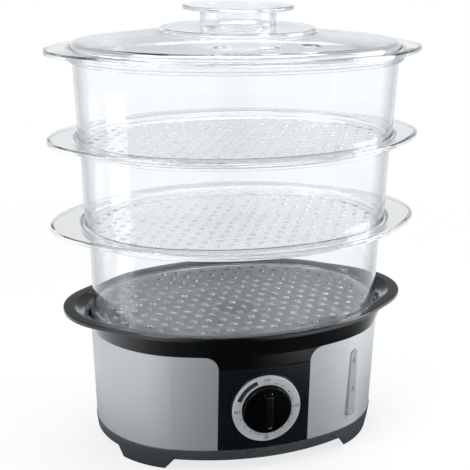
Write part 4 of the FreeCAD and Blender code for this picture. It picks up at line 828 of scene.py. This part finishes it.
# ---------------------------------------------------------------------------
# Dial: boss, ring with its printed marks, knob with a raised grip
# ---------------------------------------------------------------------------
RING_INNER = KNOB_HIGH.x + 0.8
RING_MIDDLE = (RING_INNER + RING_HIGH.x) / 2
DIAL_FACE = -RING_LOW.y
BOSS_EDGE = 1.0              # how much of the boss shows round the ring
BOSS_BORE = 4.0
BOSS_DEPTH = 6.5
MARK_PROUD = 0.06            # how far printed marks stand out of the surface, and reach into it
DOT_MINUTES, LAST_MINUTE, MINUTES_PER_TURN = 3, 45, 60
DOT_RADIUS = 0.6
DOT_INSET = 2.2              # from the ring's inner edge to the dots' middles
OFF_BAND = (291, 341)        # where the band before OFF starts and ends, clockwise from the top
BAND_EDGES = (-1.7, 2.1)     # how far its two edges lie from the ring's middle
# each text, its height, its place clockwise from the top, and how far outside the ring's middle it is
DIAL_TEXTS = (("OFF", 3.4, 0, 0.8), ("15", 4.2, 90, 1.2), ("30", 4.2, 180, 1.0), ("45", 4.2, 270, 1.2))


def turned(name, stations, slot, body, stands_for=(), finish=None, closed=True):
    """A turned piece about the dial's axis: stations of (radius, distance in front, setback)."""
    shell = Shell()
    rings = [(circle(radius, distance), setback) for radius, distance, setback in stations]
    shell.stack(rounded(rings, closed=closed), closed=closed)
    shell.lie_down(DIAL_LEVEL)
    return shell.piece(name, slot, body, stands_for, finish)


def make_dial():
    """The silver ring, and the dark boss that it lies on."""
    back, outer = -RING_HIGH.y, RING_HIGH.x
    boss, root = outer + BOSS_EDGE, back - BOSS_DEPTH
    turned("dial_boss", [(BOSS_BORE, back, 0), (boss, back, 0.6), (boss, root, 0), (BOSS_BORE, root, 0)],
           "black_gloss", "base", finish="panel_gloss")
    turned("dial_band", [(RING_INNER, DIAL_FACE, 0.5), (outer, DIAL_FACE, 0.9), (outer, back, 0),
                         (RING_INNER, back, 0)], "dial_silver", "base", ["dial_ring"])


def clock(turn, radius):
    """A place on the dial: the angle runs clockwise from the top."""
    return radius * math.sin(math.radians(turn)), radius * math.cos(math.radians(turn))


def arc(first, last, radius, steps):
    return np.array([clock(turn, radius) for turn in np.linspace(first, last, steps)])


def add_mark(shell, outline):
    """A thin printed mark: a flat outline, proud of the dial."""
    rows = [shell.add(np.column_stack([outline, np.full(len(outline), level)]))
            for level in (DIAL_FACE - MARK_PROUD, DIAL_FACE + MARK_PROUD)]
    shell.join(*rows)
    shell.cap(*rows)


def lettering(text, height, turn, radius):
    """Letters as a mesh, upright, centred on a place on the dial."""
    curve = bpy.data.curves.new("letters", "FONT")
    curve.body = text
    curve.size = height
    curve.align_x, curve.align_y = "CENTER", "CENTER"
    curve.extrude = MARK_PROUD
    holder = bpy.data.objects.new("letters", curve)
    mesh = bpy.data.meshes.new_from_object(holder)
    points = np.array([vertex.co[:] for vertex in mesh.vertices])
    faces = [list(face.vertices) for face in mesh.polygons]
    bpy.data.objects.remove(holder)
    x, y = clock(turn, radius)
    return points + (x, y, DIAL_FACE), faces


def make_dial_marks():
    """OFF at the top, minutes round the dial, dots between them, and a band before OFF."""
    shell = Shell()
    dot = arc(0, 345, DOT_RADIUS, 16)
    for minute in range(DOT_MINUTES, LAST_MINUTE + 1, DOT_MINUTES):
        add_mark(shell, dot + clock(360 * minute / MINUTES_PER_TURN, RING_INNER + DOT_INSET))
    inner, outer = (arc(*OFF_BAND, RING_MIDDLE + edge, 28) for edge in BAND_EDGES)
    add_mark(shell, np.concatenate([outer, inner[::-1]]))
    for text, height, turn, outside in DIAL_TEXTS:
        points, faces = lettering(text, height, turn, RING_MIDDLE + outside)
        numbers = shell.add(points)
        shell.faces.extend([[int(numbers[index]) for index in face] for face in faces])
    shell.lie_down(DIAL_LEVEL)
    shell.piece("dial_marks", "charcoal_plastic", "base", finish="dark_print")


KNOB_DISC = 5.5
GRIP_WIDTH = 7.0
GRIP_LENGTH = 31.0
GRIP_CORNER = 1.2


def grip_outline(inset):
    """The grip seen from the front: square at the pointing end, round at the other."""
    radius = GRIP_WIDTH / 2 - inset
    reach = GRIP_LENGTH / 2 - inset
    corner = min(GRIP_CORNER, radius * 0.6)
    points = []
    for x, start in ((radius - corner, 0), (-radius + corner, 90)):
        for turn in np.radians(np.linspace(start, start + 90, 6)):
            points.append((x + corner * math.cos(turn), reach - corner + corner * math.sin(turn)))
    for turn in np.radians(np.linspace(180, 360, 19)):
        points.append((radius * math.cos(turn), -reach + radius + radius * math.sin(turn)))
    return np.array(points)


def make_knob():
    """A flat disc with an eased edge, and a raised grip with a shallow channel along its top."""
    back, front, radius = -KNOB_HIGH.y, -KNOB_LOW.y, KNOB_HIGH.x
    face = back + KNOB_DISC
    turned("knob_disc", [(0.0, back, 0), (radius, back, 0.4), (radius, face, 1.0), (0.0, face, 0)],
           "black_gloss", "timer", ["timer_knob"], "knob_gloss", closed=False)
    # how far in the outline is, and where: up the grip's side, over its edge and into the channel
    levels = [(-0.5, face - 0.4), (-0.5, face + 0.3), (0.0, face + 0.9), (0.25, front - 0.9),
              (0.45, front - 0.3), (0.95, front), (1.5, front - 0.05), (1.9, front - 0.5)]
    rings = []
    for inset, level in levels:
        outline = grip_outline(inset)
        rings.append(np.column_stack([outline, np.full(len(outline), level)]))
    shell = Shell()
    rows = shell.stack(rings)
    shell.cap(rows[0], rows[-1])
    shell.lie_down(DIAL_LEVEL)
    shell.piece("knob_grip", "black_gloss", "timer")


# ---------------------------------------------------------------------------
# Water gauge marks
# ---------------------------------------------------------------------------
GAUGE_ANGLE = math.radians(-60)
GAUGE_LEVELS = (86.0, 58.0)
# width, height, rise and squareness of a level mark's bar, and of the dot above it
GAUGE_SHAPES = ((4.4, 1.0, 0.0, 4), (2.0, 2.0, 2.6, 2))
EASE_ANGLE = math.radians(35)
EASE_WELD = 0.01


def soft_block(width, height, squareness):
    """A flat outline: an ellipse at squareness 2, and nearer to a block above it."""
    def reach(share, size):
        return np.sign(share) * abs(share) ** (2 / squareness) * size / 2

    return [(reach(math.cos(turn), width), reach(math.sin(turn), height)) for turn in all_round(20)]


def make_gauge_marks():
    """Two level marks on the window's face: a bar with a dot above it."""
    outward = Vector((math.cos(GAUGE_ANGLE), math.sin(GAUGE_ANGLE), 0))
    across = Vector((-outward.y, outward.x, 0))
    end_centre = Vector((END_CENTRE, 0, 0))
    window = NODES["gauge_window"].data.vertices
    face = max((vertex.co / MM - end_centre).dot(outward) for vertex in window)
    shell = Shell()
    for level in GAUGE_LEVELS:
        for width, height, rise, squareness in GAUGE_SHAPES:
            shape = soft_block(width, height, squareness)
            rows = []
            for distance in (face - MARK_PROUD, face + MARK_PROUD):
                rows.append(shell.add([Vector((END_CENTRE, 0, level + rise + up)) + outward * distance
                                       + across * side for side, up in shape]))
            shell.join(*rows)
            shell.cap(*rows)
    shell.piece("gauge_marks", "charcoal_plastic", "base", finish="dark_print")


def ease_edges(node, width):
    """Round a CAD node's own edges a little with modifiers; its mesh stays as it is."""
    piece = NODES[node]
    weld = piece.modifiers.new("weld", "WELD")
    weld.merge_threshold = EASE_WELD * MM
    bevel = piece.modifiers.new("ease", "BEVEL")
    bevel.width = width * MM
    bevel.segments = 2
    bevel.limit_method = "ANGLE"
    bevel.angle_limit = EASE_ANGLE
    bevel.use_clamp_overlap = False
    bevel.harden_normals = True


# ---------------------------------------------------------------------------
# Studio
# ---------------------------------------------------------------------------
# Reflections: the floor is dim along a lane that runs out from the front, and so is the room above it;
# the floor also carries a painted shade about the object, where its reflections are dimmer. Places and fades
# on the floor are in metres.
FLOOR_HALF = 12.0
FLOOR_DARK, FLOOR_PALE = (0.88, 0.885, 0.89, 1), (0.91, 0.915, 0.92, 1)
WHITE, COOL_WHITE, THROUGH_WHITE = (1, 1, 1, 1), (0.92, 0.965, 1.0, 1), (0.97, 0.985, 1.0, 1)
FLOOR_FADE, FLOOR_WHITE = (0.25, 0.9), (0.78, 1.0)       # where the seen floor turns white, and how far
LANE_END = (-0.06, -0.3, 0.0)
LANE_FADE, LANE_LEVELS = (0.06, 0.34), (0.02, 1.05)
PAINTED_SHADE_CENTRE = (0.04, -0.03, 0.0)
PAINTED_SHADE_FADE, PAINTED_SHADE_LEVELS = (0.14, 0.34), (0.06, 1.0)
DIM_TURN = math.radians(12)
DIM_SIDE = (math.sin(-DIM_TURN), -math.cos(DIM_TURN), 0.0)
SIDE_FADE, SIDE_LEVELS = (1.0, 0.2), (0.2, 0.95)         # the room, by how much a ray runs to that side
HEIGHT_FADE, HEIGHT_LEVELS = (0.08, 0.36), (1.0, 0.28)   # the room, by how steeply a ray rises
CLEAR_FADE, CLEAR_LEVELS = (0.2, 0.8), (1.0, 0.7)        # what shows through, by how steeply a ray rises
MIRRORED_CLEAR = 0.62                                    # the same, where it is seen in a reflection


def make_floor():
    """A pale matt floor that keeps the object's shadow and runs out to white."""
    mesh = bpy.data.meshes.new("floor")
    grid = bmesh.new()
    bmesh.ops.create_grid(grid, x_segments=8, y_segments=8, size=FLOOR_HALF)
    grid.to_mesh(mesh)
    grid.free()
    floor = bpy.data.objects.new("floor", mesh)
    bpy.context.scene.collection.objects.link(floor)
    tree = material_nodes("floor_paint")
    paint = tree.add("BsdfPrincipled", {
        "Base Color": tree.blend(tree.spread(tree.noise(40.0, 4), 0, 1), FLOOR_DARK, FLOOR_PALE),
        "Roughness": 0.9, "Specular IOR Level": 0.0})
    white = tree.add("Emission", {"Color": WHITE, "Strength": 1.0})
    spot = tree.add("TexCoord").outputs["Object"]
    seen_floor = tree.mix(tree.spread(tree.vectors("LENGTH", spot), *FLOOR_WHITE, *FLOOR_FADE), paint, white)

    # how far a spot is from the lane: in front of the lane's end, only the sideways part counts
    from_end = tree.vectors("SUBTRACT", spot, LANE_END, result="Vector")
    beside = tree.vectors("MAXIMUM", from_end, (-100.0, 0.0, 0.0), result="Vector")
    # the second distance is from the middle of the painted shade, which darkens the floor's reflections near
    # the object
    off_lane, off_painted_shade = tree.vectors("LENGTH", beside), tree.vectors("DISTANCE", spot, PAINTED_SHADE_CENTRE)
    level = tree.compute("MULTIPLY", tree.ramp(off_lane, *LANE_FADE, *LANE_LEVELS),
                         tree.ramp(off_painted_shade, *PAINTED_SHADE_FADE, *PAINTED_SHADE_LEVELS))
    mirrored = tree.add("Emission", {"Color": COOL_WHITE, "Strength": level})

    path = tree.add("LightPath").outputs
    seen = tree.compute("MAXIMUM", path["Is Camera Ray"], path["Is Transmission Ray"])
    tree.show(tree.mix(seen, tree.mix(path["Is Glossy Ray"], paint, mirrored), seen_floor))
    mesh.materials.append(MATERIALS["floor_paint"])


def make_world():
    """White behind the object and for what shows through it; a dimmer room for light and reflections."""
    world = bpy.data.worlds.new("studio")
    bpy.context.scene.world = world
    tree = Tree(world, "OutputWorld")
    path = tree.add("LightPath").outputs
    ray = tree.add("TexCoord").outputs["Generated"]
    height = tree.add("SeparateXYZ", {0: ray}).outputs["Z"]
    aside = tree.vectors("DOT_PRODUCT", ray, DIM_SIDE)
    level = tree.compute("MULTIPLY", tree.ramp(aside, *SIDE_FADE, *SIDE_LEVELS),
                         tree.ramp(height, *HEIGHT_FADE, *HEIGHT_LEVELS))
    passed = tree.compute("MULTIPLY", tree.ramp(height, *CLEAR_FADE, *CLEAR_LEVELS),
                          tree.spread(path["Glossy Depth"], 1.0, MIRRORED_CLEAR, 0.0, 1.0))
    room = tree.add("Background", {"Color": COOL_WHITE, "Strength": level})
    through = tree.add("Background", {"Color": THROUGH_WHITE, "Strength": passed})
    white = tree.add("Background", {"Color": WHITE, "Strength": 1.0})
    tree.show(tree.mix(path["Is Camera Ray"], tree.mix(path["Is Transmission Ray"], room, through), white))


def softbox(name, place, aim, size, power):
    """A rectangular lamp at a place, aimed at a height on the object's middle."""
    lamp = bpy.data.lights.new(name, "AREA")
    lamp.shape = "RECTANGLE"
    lamp.size, lamp.size_y = size
    lamp.energy = power
    holder = bpy.data.objects.new(name, lamp)
    bpy.context.scene.collection.objects.link(holder)
    holder.location = place
    holder.rotation_mode = "QUATERNION"
    holder.rotation_quaternion = (Vector((0, 0, aim)) - Vector(place)).to_track_quat("-Z", "Y")
    return holder


# the photograph's view, fitted to the outlines of its ovals
CAMERA_PLACE = (-246.3, -866.7, 462.1)
CAMERA_ANGLES = (0.2759, 0.2954, 0.0092)     # yaw, pitch and roll in radians
FOCAL_PIXELS, FRAME_PIXELS = 1026.2, 470.0


def make_camera():
    """The photograph's camera, from its place, three angles and focal length."""
    yaw, pitch, roll = CAMERA_ANGLES
    ahead = Vector((math.sin(yaw) * math.cos(pitch), math.cos(yaw) * math.cos(pitch), -math.sin(pitch)))
    right = Vector((math.cos(yaw), -math.sin(yaw), 0))
    up = right.cross(ahead)
    turned_right = right * math.cos(roll) + up * math.sin(roll)
    turned_up = -right * math.sin(roll) + up * math.cos(roll)
    camera = bpy.data.cameras.new("camera")
    camera.sensor_width = 36.0
    camera.lens = camera.sensor_width * FOCAL_PIXELS / FRAME_PIXELS
    camera.clip_start, camera.clip_end = 0.05, 50.0
    holder = bpy.data.objects.new("camera", camera)
    bpy.context.scene.collection.objects.link(holder)
    turn = Matrix((turned_right, turned_up, -ahead)).transposed()
    holder.matrix_world = Matrix.Translation(Vector(CAMERA_PLACE) * MM) @ turn.to_4x4()
    bpy.context.scene.camera = holder


# ---------------------------------------------------------------------------
# The whole scene
# ---------------------------------------------------------------------------
for finish, nodes in CAD_FINISHES.items():
    for node in nodes:
        dress(NODES[node], finish)
ease_edges("base_plate", 0.5)
ease_edges("gauge_window", 0.6)
ease_edges("cord_gland", 0.4)

make_upper_housing()
make_panel()
make_apron()
make_dial()
make_dial_marks()
make_knob()
make_gauge_marks()
make_basket("basket_bottom", TIERS["basket_middle"][0])
make_basket("basket_middle", TIERS["basket_top"][0])
make_basket("basket_top", LID_HIGH.x - END_CENTRE)
make_lid()
make_spool()

make_floor()
make_world()
softbox("key", place=(-1.1, -0.7, 1.3), aim=0.18, size=(0.9, 0.9), power=16)
softbox("fill", place=(1.4, -0.3, 0.7), aim=0.12, size=(0.8, 1.0), power=15)
softbox("top", place=(0.1, 0.3, 1.7), aim=0.2, size=(1.2, 0.9), power=14).visible_glossy = False
make_camera()

scene = bpy.context.scene
scene.view_settings.view_transform = "Standard"
# enough bounces for a ray to pass all the clear walls
for kind in ("max_bounces", "glossy_bounces", "transmission_bounces", "transparent_max_bounces"):
    setattr(scene.cycles, kind, 32)
